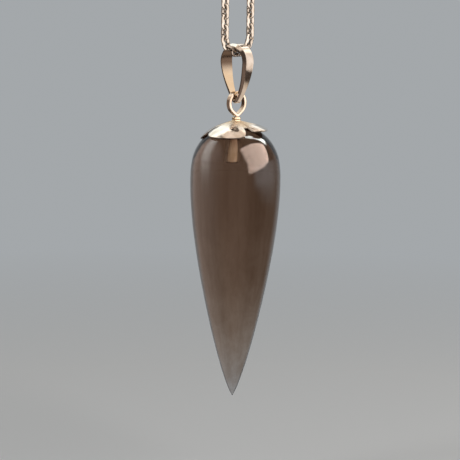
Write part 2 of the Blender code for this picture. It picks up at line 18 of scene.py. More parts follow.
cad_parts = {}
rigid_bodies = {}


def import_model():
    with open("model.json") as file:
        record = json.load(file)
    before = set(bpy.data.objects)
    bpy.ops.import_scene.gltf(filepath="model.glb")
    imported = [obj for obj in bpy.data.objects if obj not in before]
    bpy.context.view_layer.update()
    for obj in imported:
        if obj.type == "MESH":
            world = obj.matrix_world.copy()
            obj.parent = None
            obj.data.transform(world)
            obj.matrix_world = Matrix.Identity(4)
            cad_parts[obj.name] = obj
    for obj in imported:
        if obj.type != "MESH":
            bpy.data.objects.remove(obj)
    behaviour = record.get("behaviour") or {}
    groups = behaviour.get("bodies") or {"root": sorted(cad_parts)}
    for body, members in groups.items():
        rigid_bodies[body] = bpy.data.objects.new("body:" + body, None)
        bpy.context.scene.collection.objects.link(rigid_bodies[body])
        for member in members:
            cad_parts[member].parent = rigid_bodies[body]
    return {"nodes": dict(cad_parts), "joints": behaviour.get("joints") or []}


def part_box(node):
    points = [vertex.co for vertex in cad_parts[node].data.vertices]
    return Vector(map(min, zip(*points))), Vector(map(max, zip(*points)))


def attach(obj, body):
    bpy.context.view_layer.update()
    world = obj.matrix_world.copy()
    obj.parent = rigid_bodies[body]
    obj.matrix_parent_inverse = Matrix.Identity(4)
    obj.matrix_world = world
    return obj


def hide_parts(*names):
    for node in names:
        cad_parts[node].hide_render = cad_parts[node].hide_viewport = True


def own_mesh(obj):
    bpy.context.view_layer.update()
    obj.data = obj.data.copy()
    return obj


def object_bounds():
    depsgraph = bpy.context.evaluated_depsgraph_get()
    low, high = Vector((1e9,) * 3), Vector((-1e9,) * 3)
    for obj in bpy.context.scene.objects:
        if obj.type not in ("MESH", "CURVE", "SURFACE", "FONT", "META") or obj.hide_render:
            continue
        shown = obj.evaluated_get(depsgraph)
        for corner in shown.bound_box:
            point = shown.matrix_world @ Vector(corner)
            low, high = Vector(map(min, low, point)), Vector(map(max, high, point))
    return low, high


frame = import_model()
CAD_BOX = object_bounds()

MM = 0.001
LOG = logging.getLogger("stone_drop_pendant")

RELIEF = "relief"
INSIDE = "inside"
# Attribute of painted shade: the share by which a piece's silver is darkened as if in shade.
PAINTED_SHADE = "patina_and_shade"
GLOW = "glow"
RELIEF_LENGTH = 0.25 * MM
RELIEF_PASSES = 3
SHARP_ANGLE = 35.0
BEVEL_ANGLE = 40.0
MERGE_DISTANCE = 1e-7
ON_AXIS = 1e-9
LEAST_SQUARE = 1e-14
LEAST_SOFTNESS = 1e-6
TUBE_DOME = (math.pi / 8, math.pi / 4, 3 * math.pi / 8)

ALONG_X = Vector((1.0, 0.0, 0.0))
ALONG_Y = Vector((0.0, 1.0, 0.0))
UPWARD = Vector((0.0, 0.0, 1.0))
WHITE = (1.0, 1.0, 1.0)

Colour = tuple[float, float, float]
Flat = tuple[float, float]
Corners = tuple[Flat, Flat, Flat, Flat]
Socket = bpy.types.NodeSocket
Mesh = bpy.types.Mesh
Material = bpy.types.Material
SceneObject = bpy.types.Object
Step = Callable[[SceneObject], None]

OVERHEAD: Corners = ((45.0, 46.0), (135.0, 46.0), (-135.0, 46.0), (-45.0, 46.0))


class Facing(Enum):
    """How a link of the chain is turned about its own length."""

    FRONT = 0.0
    ACROSS = math.pi / 2

    @classmethod
    def of(cls, number: int) -> "Facing":
        """Facing of a link by its number in the strand: odd ones face the front."""
        return cls.FRONT if number % 2 == 1 else cls.ACROSS


class Ray(Enum):
    """Kinds of ray that the backdrop, the floor and the cards tell apart, by their Light Path socket."""

    CAMERA = "Is Camera Ray"
    GLOSSY = "Is Glossy Ray"
    TRANSMISSION = "Is Transmission Ray"


class Lit(Enum):
    """Groups of pieces that a light or a card can be kept to."""

    STONE = "stone"
    CORE = "core"
    METAL = "metal"
    WIRE = "wire"
    CLASP = "clasp"

    def group(self) -> bpy.types.Collection:
        """The group's collection, made when it is first asked for."""
        return bpy.data.collections.get(self.value) or bpy.data.collections.new(self.value)


WIRE_LIT = (Lit.METAL, Lit.WIRE)
CLASP_LIT = (Lit.METAL, Lit.CLASP)


class Graph:
    """Adds and joins the nodes of one tree."""

    def __init__(self, tree: bpy.types.NodeTree) -> None:
        """Keeps the tree that the nodes go into."""
        self.tree = tree

    def fill(self, node: bpy.types.Node, values: dict) -> None:
        """Sets or joins a node's inputs.

        Args:
            node: the node.
            values: constants, or sockets to join, for its inputs, by name or index.
        """
        for key, value in values.items():
            if isinstance(value, Socket):
                self.tree.links.new(value, node.inputs[key])
            else:
                node.inputs[key].default_value = value

    def add(self, kind: str, values: dict | None = None, **settings: object) -> bpy.types.Node:
        """Adds a node.

        Args:
            kind: the node's type.
            values: constants, or sockets to join, for its inputs, by name or index.
            **settings: properties of the node.

        Returns:
            The new node.
        """
        node = self.tree.nodes.new(kind)
        for key, value in settings.items():
            setattr(node, key, value)
        self.fill(node, values or {})
        return node

    def made(self, kind: str, values: dict | None = None, **settings: object) -> Socket:
        """First output of a new node, which is added as add() does."""
        return self.add(kind, values, **settings).outputs[0]

    def show(self, **values: Socket) -> None:
        """Joins sockets to the tree's own output node, by the names of its inputs."""
        self.fill(next(node for node in self.tree.nodes if node.type.startswith("OUTPUT")), values)

    def maths(self, operation: str, first: object, second: object = 0.0) -> Socket:
        """Result of one Math node."""
        return self.made("ShaderNodeMath", {0: first, 1: second}, operation=operation)

    def attribute(self, name: str) -> Socket:
        """Value of a piece's own attribute."""
        return self.add("ShaderNodeAttribute", attribute_name=name).outputs["Fac"]

    def height(self, place: Socket) -> Socket:
        """Height of a place in the frame."""
        return self.add("ShaderNodeSeparateXYZ", {0: place}).outputs["Z"]

    def drawn(self, place: Socket, share: float) -> Socket:
        """Coordinates in which a pattern is drawn out along Z."""
        return self.made("ShaderNodeMapping", {"Vector": place, "Scale": (1.0, 1.0, share)})

    def ramp(self, factor: Socket, ends: Flat, first: Colour, second: Colour) -> Socket:
        """A colour between two.

        Args:
            factor: the value that sets the colour.
            ends: the values from which the first and the second colour are pure.
            first: the colour at the lower end.
            second: the colour at the upper end.

        Returns:
            The colour's socket.
        """
        node = self.add("ShaderNodeValToRGB", {"Fac": factor})
        for element, place, colour in zip(node.color_ramp.elements, ends, (first, second)):
            element.position = place
            element.color = (*colour, 1.0)
        return node.outputs["Color"]

    def mix(self, factor: object, first: object, second: object, blend: str = "MIX") -> Socket:
        """Two colours mixed.

        Args:
            factor: share of the second one.
            first: a colour or its socket.
            second: a colour or its socket.
            blend: the way of mixing.

        Returns:
            The mixed colour's socket.
        """
        values = {"Factor": factor}
        for label, colour in (("A", first), ("B", second)):
            values[label] = colour if isinstance(colour, Socket) else (*colour, 1.0)
        node = self.add("ShaderNodeMix", values, data_type="RGBA", blend_type=blend)
        return node.outputs["Result"]

    def spread(self, factor: Socket, low: float, high: float, start: float = 0.3, end: float = 0.7) -> Socket:
        """Maps a factor from one range to another.

        Args:
            factor: the value to map.
            low: result at start.
            high: result at end.
            start: lower end of the factor's range.
            end: upper end of the factor's range.

        Returns:
            The mapped value's socket.
        """
        values = {"Value": factor, "From Min": start, "From Max": end, "To Min": low, "To Max": high}
        return self.made("ShaderNodeMapRange", values)

    def noise(self, vector: Socket, size: float, detail: float = 2.0, roughness: float = 0.5) -> Socket:
        """Factor of a noise whose features have a real size.

        Args:
            vector: coordinates in metres.
            size: of a feature, in metres.
            detail: octaves of the noise.
            roughness: of the octaves.

        Returns:
            The factor's socket.
        """
        values = {"Vector": vector, "Scale": 1.0 / size, "Detail": detail, "Roughness": roughness}
        return self.made("ShaderNodeTexNoise", values)

    def bump(
        self, height: Socket, depth: float, strength: float = 1.0, under: Socket | None = None
    ) -> Socket:
        """Normal of a bumped surface.

        Args:
            height: the pattern.
            depth: of the pattern, in metres.
            strength: how much of it shows.
            under: normal of a coarser bump that it lies on.

        Returns:
            The normal's socket.
        """
        values = {"Strength": strength, "Distance": depth, "Height": height}
        if under is not None:
            values["Normal"] = under
        return self.made("ShaderNodeBump", values)


def new_material(name: str) -> tuple[Material, Graph, bpy.types.Node, Socket]:
    """A fresh material.

    Args:
        name: the material's name.

    Returns:
        The material, its graph, its Principled shader and its Object coordinates.
    """
    material = bpy.data.materials.new(name)
    material.use_nodes = True
    graph = Graph(material.node_tree)
    shader = material.node_tree.nodes["Principled BSDF"]
    place = graph.add("ShaderNodeTexCoord").outputs["Object"]
    return material, graph, shader, place


@dataclass(frozen=True)
class SilverFinish:
    """Hand-polished silver: soft dents, fine scratches, tarnish in its hollows and painted shade where a
    piece marks it.
    """

    name: str
    bright: Colour = (0.93, 0.89, 0.84)
    dull: Colour = (0.74, 0.67, 0.59)
    polish_ends: Flat = (0.36, 0.62)
    # Colour of the tarnish in hollows, and also of the painted shade that a piece marks.
    patina_and_shade: Colour = (0.20, 0.145, 0.11)
    # Colour on faces that a piece marks as inside, dark by default as painted shade; each piece's own use is
    # given where its silver is made.
    inner: Colour = (0.20, 0.145, 0.11)
    inner_share: float = 0.85
    inner_least: float = 0.75
    inner_blur: float = 0.0
    hollow_ends: Flat = (0.12, 0.40)
    hollow_grain: float = 0.08
    hollow_blur: float = 0.2
    gloss: float = 0.07
    wear: float = 0.20
    cloud_size: float = 1.6 * MM
    grain_size: float = 0.25 * MM
    dent_size: float = 0.9 * MM
    dent_depth: float = 0.03 * MM
    scratch_size: float = 0.05 * MM
    scratch_depth: float = 0.0012 * MM
    scratch_draw: float = 0.12

    def material(self) -> Material:
        """The finished silver, which reads the piece's relief, inside and painted shade attributes.

        Returns:
            The material.
        """
        material, graph, shader, place = new_material(self.name)
        cloud = graph.noise(place, self.cloud_size, detail=4.0)
        grain = graph.noise(place, self.grain_size, detail=5.0, roughness=0.65)
        polish = graph.ramp(cloud, self.polish_ends, self.dull, self.bright)
        uneven = graph.spread(grain, -self.hollow_grain, self.hollow_grain)
        hollow = graph.maths("ADD", graph.attribute(RELIEF), uneven)
        # Painted shade where a piece marks it, darkening towards the same colour as the tarnish in hollows.
        shade_share = graph.attribute(PAINTED_SHADE)
        depth = graph.maths("MAXIMUM", graph.spread(hollow, 1.0, 0.0, *self.hollow_ends), shade_share)
        # The inner colour on faces marked inside, varied with the grain and held back where painted shade
        # lies.
        inside = graph.attribute(INSIDE)
        share = graph.spread(grain, self.inner_least * self.inner_share, self.inner_share)
        inner_mark = graph.maths("MULTIPLY", inside, share)
        inner_shown = graph.maths("MULTIPLY", inner_mark, graph.maths("SUBTRACT", 1.0, shade_share))
        dulled = graph.maths("MULTIPLY", depth, self.hollow_blur)
        blurred = graph.maths("ADD", dulled, graph.maths("MULTIPLY", inside, self.inner_blur))
        dents = graph.bump(graph.noise(place, self.dent_size, detail=1.5), self.dent_depth)
        lines = graph.noise(graph.drawn(place, self.scratch_draw), self.scratch_size, detail=2.0)
        looks = {
            "Base Color": graph.mix(inner_shown, graph.mix(depth, polish, self.patina_and_shade), self.inner),
            "Roughness": graph.maths("ADD", graph.spread(grain, self.gloss, self.wear), blurred),
            "Metallic": 1.0,
            "Normal": graph.bump(lines, self.scratch_depth, under=dents),
        }
        graph.fill(shader, looks)
        return material


@dataclass(frozen=True)
class StoneFinish:
    """Polished smoky quartz: clear, brown through its depth, with faint upright streaks."""

    name: str
    tip: float
    clear_from: float
    tip_grey: Colour = (0.80, 0.81, 0.83)
    pale: Colour = (1.0, 0.985, 0.97)
    streak: Colour = (0.74, 0.66, 0.60)
    streak_ends: Flat = (0.36, 0.60)
    streak_size: float = 1.2 * MM
    streak_draw: float = 0.035
    light_path_colour: Colour = (0.382, 0.172, 0.0)
    absorption: float = 186.0
    refraction: float = 1.544
    polish: float = 0.015
    haze: float = 2.5
    haze_size: float = 6.0 * MM

    def material(self) -> Material:
        """The finished stone, with its colour in a plain absorbing volume.

        Returns:
            The material.
        """
        material, graph, shader, place = new_material(self.name)
        upright = graph.drawn(place, self.streak_draw)
        bands = graph.noise(upright, self.streak_size, detail=5.0, roughness=0.68)
        tint = graph.ramp(bands, self.streak_ends, self.streak, self.pale)
        rise = graph.spread(graph.height(place), 0.0, 1.0, self.tip, self.clear_from)
        grey = graph.ramp(rise, (0.0, 1.0), self.tip_grey, WHITE)
        cloud = graph.noise(place, self.haze_size, detail=3.0)
        looks = {
            "Base Color": graph.mix(1.0, tint, grey, "MULTIPLY"),
            "Roughness": graph.spread(cloud, self.polish, self.haze * self.polish),
            "IOR": self.refraction,
            "Transmission Weight": 1.0,
        }
        graph.fill(shader, looks)
        brown = {"Color": (*self.light_path_colour, 1.0), "Density": self.absorption}
        graph.show(Volume=graph.made("ShaderNodeVolumeAbsorption", brown))
        return material


@dataclass(frozen=True)
class CementFinish:
    """Amber cement with small bubbles, cloudy patches and painted shade near the mouth of the hole."""

    name: str
    top: float
    clear: Colour = (0.82, 0.68, 0.53)
    cloudy: Colour = (0.68, 0.53, 0.39)
    cap_shade: Colour = (0.34, 0.20, 0.13)
    cap_shade_to: float = 3.2 * MM
    clear_from: float = 5.0 * MM
    patch_ends: Flat = (0.35, 0.65)
    patch_size: float = 0.5 * MM
    patch_draw: float = 0.25
    gloss: float = 0.2
    wear: float = 0.4
    bubble_size: float = 0.15 * MM
    bubble_depth: float = 0.02 * MM
    bubble_strength: float = 0.5

    def material(self) -> Material:
        """The finished cement, with painted shade towards the mouth of the hole, under the cap.

        Returns:
            The material.
        """
        material, graph, shader, place = new_material(self.name)
        patches = graph.noise(graph.drawn(place, self.patch_draw), self.patch_size, detail=4.0)
        amber = graph.ramp(patches, self.patch_ends, self.cloudy, self.clear)
        # Painted shade under the cap: the cement darkens towards the mouth of the hole.
        ends = (self.top - self.clear_from, self.top - self.cap_shade_to)
        depth = graph.spread(graph.height(place), 1.0, 0.0, *ends)
        bubbles = graph.noise(place, self.bubble_size, detail=2.0)
        looks = {
            "Base Color": graph.mix(depth, self.cap_shade, amber),
            "Roughness": graph.spread(patches, self.gloss, self.wear),
            "Normal": graph.bump(bubbles, self.bubble_depth, self.bubble_strength),
        }
        graph.fill(shader, looks)
        return material


@dataclass(frozen=True)
class DrawnMetalFinish:
    """Drawn wire or rod: fine lines and a little colour drift."""

    name: str
    light: Colour
    dark: Colour
    roughness: float
    wear: float = 1.5
    cloud_ends: Flat = (0.35, 0.65)
    cloud_size: float = 0.6 * MM
    line_size: float = 0.06 * MM
    line_depth: float = 0.002 * MM
    line_strength: float = 0.6

    def material(self) -> Material:
        """The finished drawn metal.

        Returns:
            The material.
        """
        material, graph, shader, place = new_material(self.name)
        cloud = graph.noise(place, self.cloud_size, detail=4.0)
        lines = graph.noise(place, self.line_size, detail=3.0)
        looks = {
            "Base Color": graph.ramp(cloud, self.cloud_ends, self.dark, self.light),
            "Roughness": graph.spread(cloud, self.roughness, self.wear * self.roughness),
            "Metallic": 1.0,
            "Normal": graph.bump(lines, self.line_depth, self.line_strength),
        }
        graph.fill(shader, looks)
        return material


def smooth_step(share: float) -> float:
    """Eases a share at 0 and 1, and holds it there beyond them."""
    held = min(max(share, 0.0), 1.0)
    return held * held * (3 - 2 * held)


def shares(steps: int) -> list[float]:
    """Even shares from 0 to 1, both included."""
    return [step / steps for step in range(steps + 1)]


def turns(count: int) -> list[float]:
    """Even angles once round, in radians."""
    return [2 * math.pi * step / count for step in range(count)]


def arc(centre: Flat, radius: float, start: float, end: float, steps: int) -> list[Flat]:
    """Points on an arc, both ends included, angles in radians."""
    angles = [start + (end - start) * step / steps for step in range(steps + 1)]
    return [(centre[0] + radius * math.cos(a), centre[1] + radius * math.sin(a)) for a in angles]


def put(name: str, data: bpy.types.ID) -> SceneObject:
    """A new object with some data, linked to the scene.

    Args:
        name: the object's name.
        data: its mesh, light or camera.

    Returns:
        The new object.
    """
    holder = bpy.data.objects.new(name, data)
    bpy.context.scene.collection.objects.link(holder)
    return holder


def store(mesh: Mesh, name: str, values: Sequence[float]) -> None:
    """Stores a value for each vertex of a mesh, under a name."""
    mesh.attributes.new(name, "FLOAT", "POINT").data.foreach_set("value", values)


def store_relief(mesh: Mesh) -> None:
    """Stores how far each vertex stands out: from 0 in a hollow over 0.5 on a flat face to 1 on an edge.

    Args:
        mesh: the mesh that gets the attribute.
    """
    work = bmesh.new()
    work.from_mesh(mesh)
    work.normal_update()
    bulge = []
    for vert in work.verts:
        total = 0.0
        for edge in vert.link_edges:
            away = edge.other_vert(vert).co - vert.co
            total -= away.dot(vert.normal) / max(away.length_squared, LEAST_SQUARE)
        bulge.append(total / max(len(vert.link_edges), 1))
    for _ in range(RELIEF_PASSES):
        eased = []
        for vert in work.verts:
            near = [bulge[edge.other_vert(vert).index] for edge in vert.link_edges]
            eased.append((bulge[vert.index] + sum(near)) / (1 + len(near)))
        bulge = eased
    work.free()
    store(mesh, RELIEF, [0.5 + 0.5 * math.tanh(value * RELIEF_LENGTH) for value in bulge])


def close_mesh(work: bmesh.types.BMesh, name: str, sharp: float = SHARP_ANGLE) -> Mesh:
    """Merges doubles, points the faces outwards and shades smooth.

    Args:
        work: the faces, which are freed.
        name: the mesh's name.
        sharp: angle in degrees above which an edge stays sharp.

    Returns:
        The finished mesh.
    """
    bmesh.ops.remove_doubles(work, verts=work.verts, dist=MERGE_DISTANCE)
    bmesh.ops.recalc_face_normals(work, faces=work.faces)
    mesh = bpy.data.meshes.new(name)
    work.to_mesh(mesh)
    work.free()
    mesh.shade_smooth()
    mesh.set_sharp_from_angle(angle=math.radians(sharp))
    return mesh


def cleaned(mesh: Mesh, name: str) -> Mesh:
    """A mesh that modifiers made, closed and smooth.

    Args:
        mesh: the mesh as it came.
        name: the new mesh's name.

    Returns:
        The new mesh.
    """
    work = bmesh.new()
    work.from_mesh(mesh)
    return close_mesh(work, name)


def grid_mesh(name: str, rings: Sequence[Sequence[Vector]], joined: bool, sharp: float = SHARP_ANGLE) -> Mesh:
    """Skins a row of closed rings.

    Args:
        name: the mesh's name.
        rings: rings of as many points each; a ring of one point is a pole.
        joined: whether the last ring meets the first one.
        sharp: angle in degrees above which an edge stays sharp.

    Returns:
        The closed mesh.
    """
    work = bmesh.new()
    rows = [[work.verts.new(point) for point in ring] for ring in rings]
    pairs = list(zip(rows, rows[1:]))
    if joined:
        pairs.append((rows[-1], rows[0]))
    for first, second in pairs:
        count = max(len(first), len(second))
        for step in range(count):
            after = (step + 1) % count
            if len(first) == 1:
                work.faces.new((first[0], second[step], second[after]))
            elif len(second) == 1:
                work.faces.new((first[step], second[0], first[after]))
            else:
                work.faces.new((first[step], second[step], second[after], first[after]))
    return close_mesh(work, name, sharp)


def turned_mesh(name: str, profile: Sequence[Flat], segments: int, sharp: float = SHARP_ANGLE) -> Mesh:
    """Turns a profile about Z.

    Args:
        name: the mesh's name.
        profile: radius and height of each point, from axis to axis.
        segments: steps round the axis.
        sharp: angle in degrees above which an edge stays sharp.

    Returns:
        The closed mesh.
    """
    rings = []
    for radius, height in profile:
        if radius < ON_AXIS:
            rings.append([Vector((0.0, 0.0, height))])
            continue
        ring = [(radius * math.cos(a), radius * math.sin(a), height) for a in turns(segments)]
        rings.append([Vector(point) for point in ring])
    return grid_mesh(name, rings, False, sharp)


def tube_mesh(name: str, path: Sequence[Vector], radius: float, sides: int, closed: bool) -> Mesh:
    """A round wire along a path.

    Args:
        name: the mesh's name.
        path: points of its middle line.
        radius: of the wire.
        sides: of its section.
        closed: whether it joins itself; an open one gets domed ends.

    Returns:
        The closed mesh.
    """
    count = len(path)
    rings = []
    normal = None
    for step, point in enumerate(path):
        before = path[step - 1] if closed or step > 0 else point
        after = path[(step + 1) % count] if closed or step < count - 1 else point
        tangent = (after - before).normalized()
        if normal is None:
            normal = tangent.orthogonal().normalized()
        normal = (normal - tangent * normal.dot(tangent)).normalized()
        side = tangent.cross(normal)
        offsets = [normal * math.cos(a) + side * math.sin(a) for a in turns(sides)]
        rings.append((point, tangent, offsets))
    made = [[point + offset * radius for offset in offsets] for point, _, offsets in rings]
    if closed:
        return grid_mesh(name, made, True)
    dome = [(math.cos(a), math.sin(a)) for a in TUBE_DOME]
    first, last = rings[0], rings[-1]
    head = [[first[0] - first[1] * radius * s + o * radius * c for o in first[2]] for c, s in reversed(dome)]
    tail = [[last[0] + last[1] * radius * s + o * radius * c for o in last[2]] for c, s in dome]
    start = [[first[0] - first[1] * radius]]
    end = [[last[0] + last[1] * radius]]
    return grid_mesh(name, start + head + made + tail + end, False)


def plate_mesh(name: str, outline: Sequence[Flat], thickness: float) -> Mesh:
    """A flat plate.

    Args:
        name: the mesh's name.
        outline: its outline in X and Z.
        thickness: along Y.

    Returns:
        The closed mesh.
    """
    work = bmesh.new()
    front = [work.verts.new((x, -thickness / 2, z)) for x, z in outline]
    back = [work.verts.new((x, thickness / 2, z)) for x, z in outline]
    work.faces.new(front)
    work.faces.new(list(reversed(back)))
    for step in range(len(outline)):
        after = (step + 1) % len(outline)
        work.faces.new((front[step], front[after], back[after], back[step]))
    return close_mesh(work, name)


def settled(mesh: Mesh, add_modifiers: Step) -> Mesh:
    """Runs a mesh through modifiers and keeps the plain result.

    Args:
        mesh: the mesh to start from.
        add_modifiers: adds the modifiers to the object that it is given.

    Returns:
        The resulting mesh.
    """
    holder = put(mesh.name, mesh)
    add_modifiers(holder)
    evaluated = holder.evaluated_get(bpy.context.evaluated_depsgraph_get())
    result = bpy.data.meshes.new_from_object(evaluated)
    result.name = f"{mesh.name}_settled"
    bpy.data.objects.remove(holder, do_unlink=True)
    return result


def cut(mesh: Mesh, cutter: Mesh) -> Mesh:
    """A mesh with another one cut out of it.

    Args:
        mesh: the mesh to cut.
        cutter: the shape that is taken out.

    Returns:
        The cut mesh.
    """
    tool = put(cutter.name, cutter)

    def add(holder: SceneObject) -> None:
        """Adds the Boolean.

        Args:
            holder: the object that it goes on.
        """
        modifier = holder.modifiers.new("cut", "BOOLEAN")
        modifier.operation = "DIFFERENCE"
        modifier.object = tool

    result = settled(mesh, add)
    bpy.data.objects.remove(tool, do_unlink=True)
    return result


def edge_rounding(width: float, segments: int) -> Step:
    """A step for settled() that rounds the sharp edges.

    Args:
        width: of the rounding.
        segments: across the rounding.

    Returns:
        The step.
    """

    def add(holder: SceneObject) -> None:
        """Adds the Bevel.

        Args:
            holder: the object that it goes on.
        """
        modifier = holder.modifiers.new("edges", "BEVEL")
        modifier.width = width
        modifier.segments = segments
        modifier.limit_method = "ANGLE"
        modifier.angle_limit = math.radians(BEVEL_ANGLE)

    return add


def add_piece(
    name: str,
    mesh: Mesh,
    material: Material,
    body: str,
    nodes: Sequence[str],
    lit: Sequence[Lit] = (Lit.METAL,),
) -> SceneObject:
    """Puts a finished piece in the scene, in place of its CAD nodes.

    Args:
        name: the piece's name.
        mesh: its mesh, already in place.
        material: its finish.
        body: the body that it rides on.
        nodes: the CAD nodes that it stands for.
        lit: the groups that it is lit with.

    Returns:
        The new object.
    """
    mesh.name = name
    mesh.materials.clear()
    mesh.materials.append(material)
    store_relief(mesh)
    piece = put(name, mesh)
    for kind in lit:
        kind.group().objects.link(piece)
    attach(piece, body)
    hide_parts(*nodes)
    LOG.info("%s: %d faces on %s", name, len(mesh.polygons), body)
    return piece


def middle(node: str) -> Vector:
    """Centre of a CAD node's box."""
    low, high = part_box(node)
    return (low + high) / 2


def joint_place(name: str) -> Vector:
    """Where a joint's axis passes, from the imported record."""
    found = next(joint for joint in frame["joints"] if joint["name"] == name)
    return Vector(found["pos_m"])


@dataclass
class StoneDrop:
    """The polished stone with its drilled hole, and the peg and cement in it."""

    shoulder_height: float = 8.6 * MM
    shoulder_power: float = 2.25
    taper_top_power: float = 1.17
    taper_tip_power: float = 0.84
    tip_round: float = 0.12 * MM
    tip_shoulder: Flat = (0.6, 0.3)
    hole_radius: float = 0.95 * MM
    hole_depth: float = 6.4 * MM
    drill_point: float = 0.12 * MM
    rim_break: float = 0.08 * MM
    peg_radius: float = 0.45 * MM
    slant: float = 0.4 * MM
    slant_margin: float = 1.001
    cement_gap: float = 0.05 * MM
    peg_groove: float = 0.03 * MM
    peg_grooves: int = 9
    groove_steps: int = 8
    grey_tip: float = 9.0 * MM
    segments: int = 192
    cement_segments: int = 64
    peg_segments: int = 48
    sharp: float = 50.0
    shoulder_steps: int = 56
    taper_steps: int = 140
    ease_reach: float = 3.2 * MM
    ease_passes: int = 40
    ease_above: float = 0.8
    top: float = field(init=False)
    tip: float = field(init=False)
    radius: float = field(init=False)

    def __post_init__(self) -> None:
        """Takes the stone's ends and width from the frame."""
        low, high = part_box("stone_drop")
        self.tip = low.z
        self.radius = (high.x - low.x) / 2
        self.top = high.z + self.shoulder_drop(self.hole_radius)

    def shoulder_drop(self, radius: float) -> float:
        """How far the shoulder lies below the stone's top at a radius."""
        share = (1 - (radius / self.radius) ** self.shoulder_power) ** (1 / self.shoulder_power)
        return self.shoulder_height * (1 - share)

    def eased(self, profile: Sequence[Flat], widest: float) -> list[Flat]:
        """Spreads out the profile's change of bend at its widest, so that no line shows there.

        Args:
            profile: radius and height of each point.
            widest: the height at which the stone is widest.

        Returns:
            The eased profile.
        """
        after = list(profile)
        for _ in range(self.ease_passes):
            before = list(after)
            for index, (radius, height) in enumerate(before):
                if abs(height - widest) > self.ease_reach or radius < self.ease_above * self.radius:
                    continue
                above, high = before[index - 1]
                below, low = before[index + 1]
                level = below + (above - below) * (height - low) / (high - low)
                after[index] = ((radius + level) / 2, height)
        return after

    def stone_profile(self) -> list[Flat]:
        """The stone from its hole's floor over the shoulder to the tip.

        Returns:
            Radius and height of each point.
        """
        floor = self.top - self.hole_depth
        rim_radius = self.hole_radius + self.rim_break
        rim = self.top - self.shoulder_drop(rim_radius)
        profile = [(0.0, floor - self.drill_point), (self.hole_radius, floor)]
        profile.append((self.hole_radius, rim - self.rim_break))
        first = math.asin((rim_radius / self.radius) ** (self.shoulder_power / 2))
        for step in range(self.shoulder_steps + 1):
            angle = first + (math.pi / 2 - first) * step / self.shoulder_steps
            radius = self.radius * math.sin(angle) ** (2 / self.shoulder_power)
            profile.append((radius, self.top - self.shoulder_drop(radius)))
        widest = self.top - self.shoulder_height
        for step in range(1, self.taper_steps):
            share = 1 - step / self.taper_steps
            power = self.taper_tip_power + (self.taper_top_power - self.taper_tip_power) * share
            radius = self.radius * math.sin(math.pi / 2 * share**power)
            profile.append((radius, self.tip + (widest - self.tip) * share))
        profile = self.eased(profile, widest)
        blunt = [point for point in profile if point[0] > self.tip_round or point[1] > widest]
        out, up = self.tip_shoulder
        blunt.append((self.tip_round * out, self.tip + self.tip_round * up))
        return blunt + [(0.0, self.tip)]

    def cement_profile(self) -> list[Flat]:
        """The sleeve of cement, closed below the peg.

        Returns:
            Radius and height of each point.
        """
        low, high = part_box("peg_cement")
        inner = self.peg_radius + self.cement_gap
        outer = self.hole_radius - self.cement_gap
        peg_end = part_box("peg_post")[0].z - self.cement_gap
        soft = self.cement_gap
        inside = [(0.0, peg_end), (inner, peg_end), (inner, high.z), (outer - soft, high.z)]
        outside = [(outer, high.z - soft), (outer, low.z + soft), (outer - soft, low.z), (0.0, low.z)]
        return inside + outside

    def peg_profile(self) -> list[Flat]:
        """The peg, grooved to hold in the cement.

        Returns:
            Radius and height of each point.
        """
        low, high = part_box("peg_post")
        soft = 2 * self.peg_groove
        profile = [(0.0, high.z), (self.peg_radius - soft, high.z), (self.peg_radius, high.z - soft)]
        length = high.z - low.z
        steps = self.groove_steps * self.peg_grooves
        for step in range(1, steps):
            share = step / steps
            swell = 0.5 - 0.5 * math.cos(2 * math.pi * self.peg_grooves * share)
            height = high.z - soft - (length - 2 * soft) * share
            profile.append((self.peg_radius - self.peg_groove * swell, height))
        return profile + [(self.peg_radius, low.z + soft), (self.peg_radius - soft, low.z), (0.0, low.z)]

    def slanted(self, mesh: Mesh) -> Mesh:
        """Leans what is in or round the hole, which was drilled a little off the stone's axis.

        Args:
            mesh: the stone, the cement or the peg.

        Returns:
            The same mesh.
        """
        aside = (ALONG_Y - ALONG_X).normalized() * self.slant
        within = self.hole_radius * self.slant_margin
        lowest = self.top - 2 * self.hole_depth
        for vert in mesh.vertices:
            if math.hypot(vert.co.x, vert.co.y) < within and vert.co.z > lowest:
                vert.co += aside * max((self.top - vert.co.z) / self.hole_depth, 0.0)
        return mesh

    def build(self) -> None:
        """Makes and dresses the stone, the cement and the peg."""
        stone = self.slanted(turned_mesh("stone", self.stone_profile(), self.segments, self.sharp))
        quartz = StoneFinish("smoky_quartz", self.tip, self.tip + self.grey_tip).material()
        add_piece("polished_stone", stone, quartz, "drop", ["stone_drop"], [Lit.STONE])
        cement = self.slanted(turned_mesh("cement", self.cement_profile(), self.cement_segments))
        amber = CementFinish("amber_cement", self.top).material()
        add_piece("amber_cement", cement, amber, "drop", ["peg_cement"], [Lit.CORE])
        brass = DrawnMetalFinish("peg_brass", (0.80, 0.60, 0.33), (0.62, 0.43, 0.21), 0.22)
        peg = self.slanted(turned_mesh("peg", self.peg_profile(), self.peg_segments))
        add_piece("grooved_peg", peg, brass.material(), "drop", ["peg_post"], [Lit.CORE])


@dataclass(frozen=True)
class Petal:
    """One petal: its angle and half its width in degrees, its reach, its tip's lift and how far it bulges."""

    angle: float
    half_angle: float
    reach: float
    lift: float
    puff: float


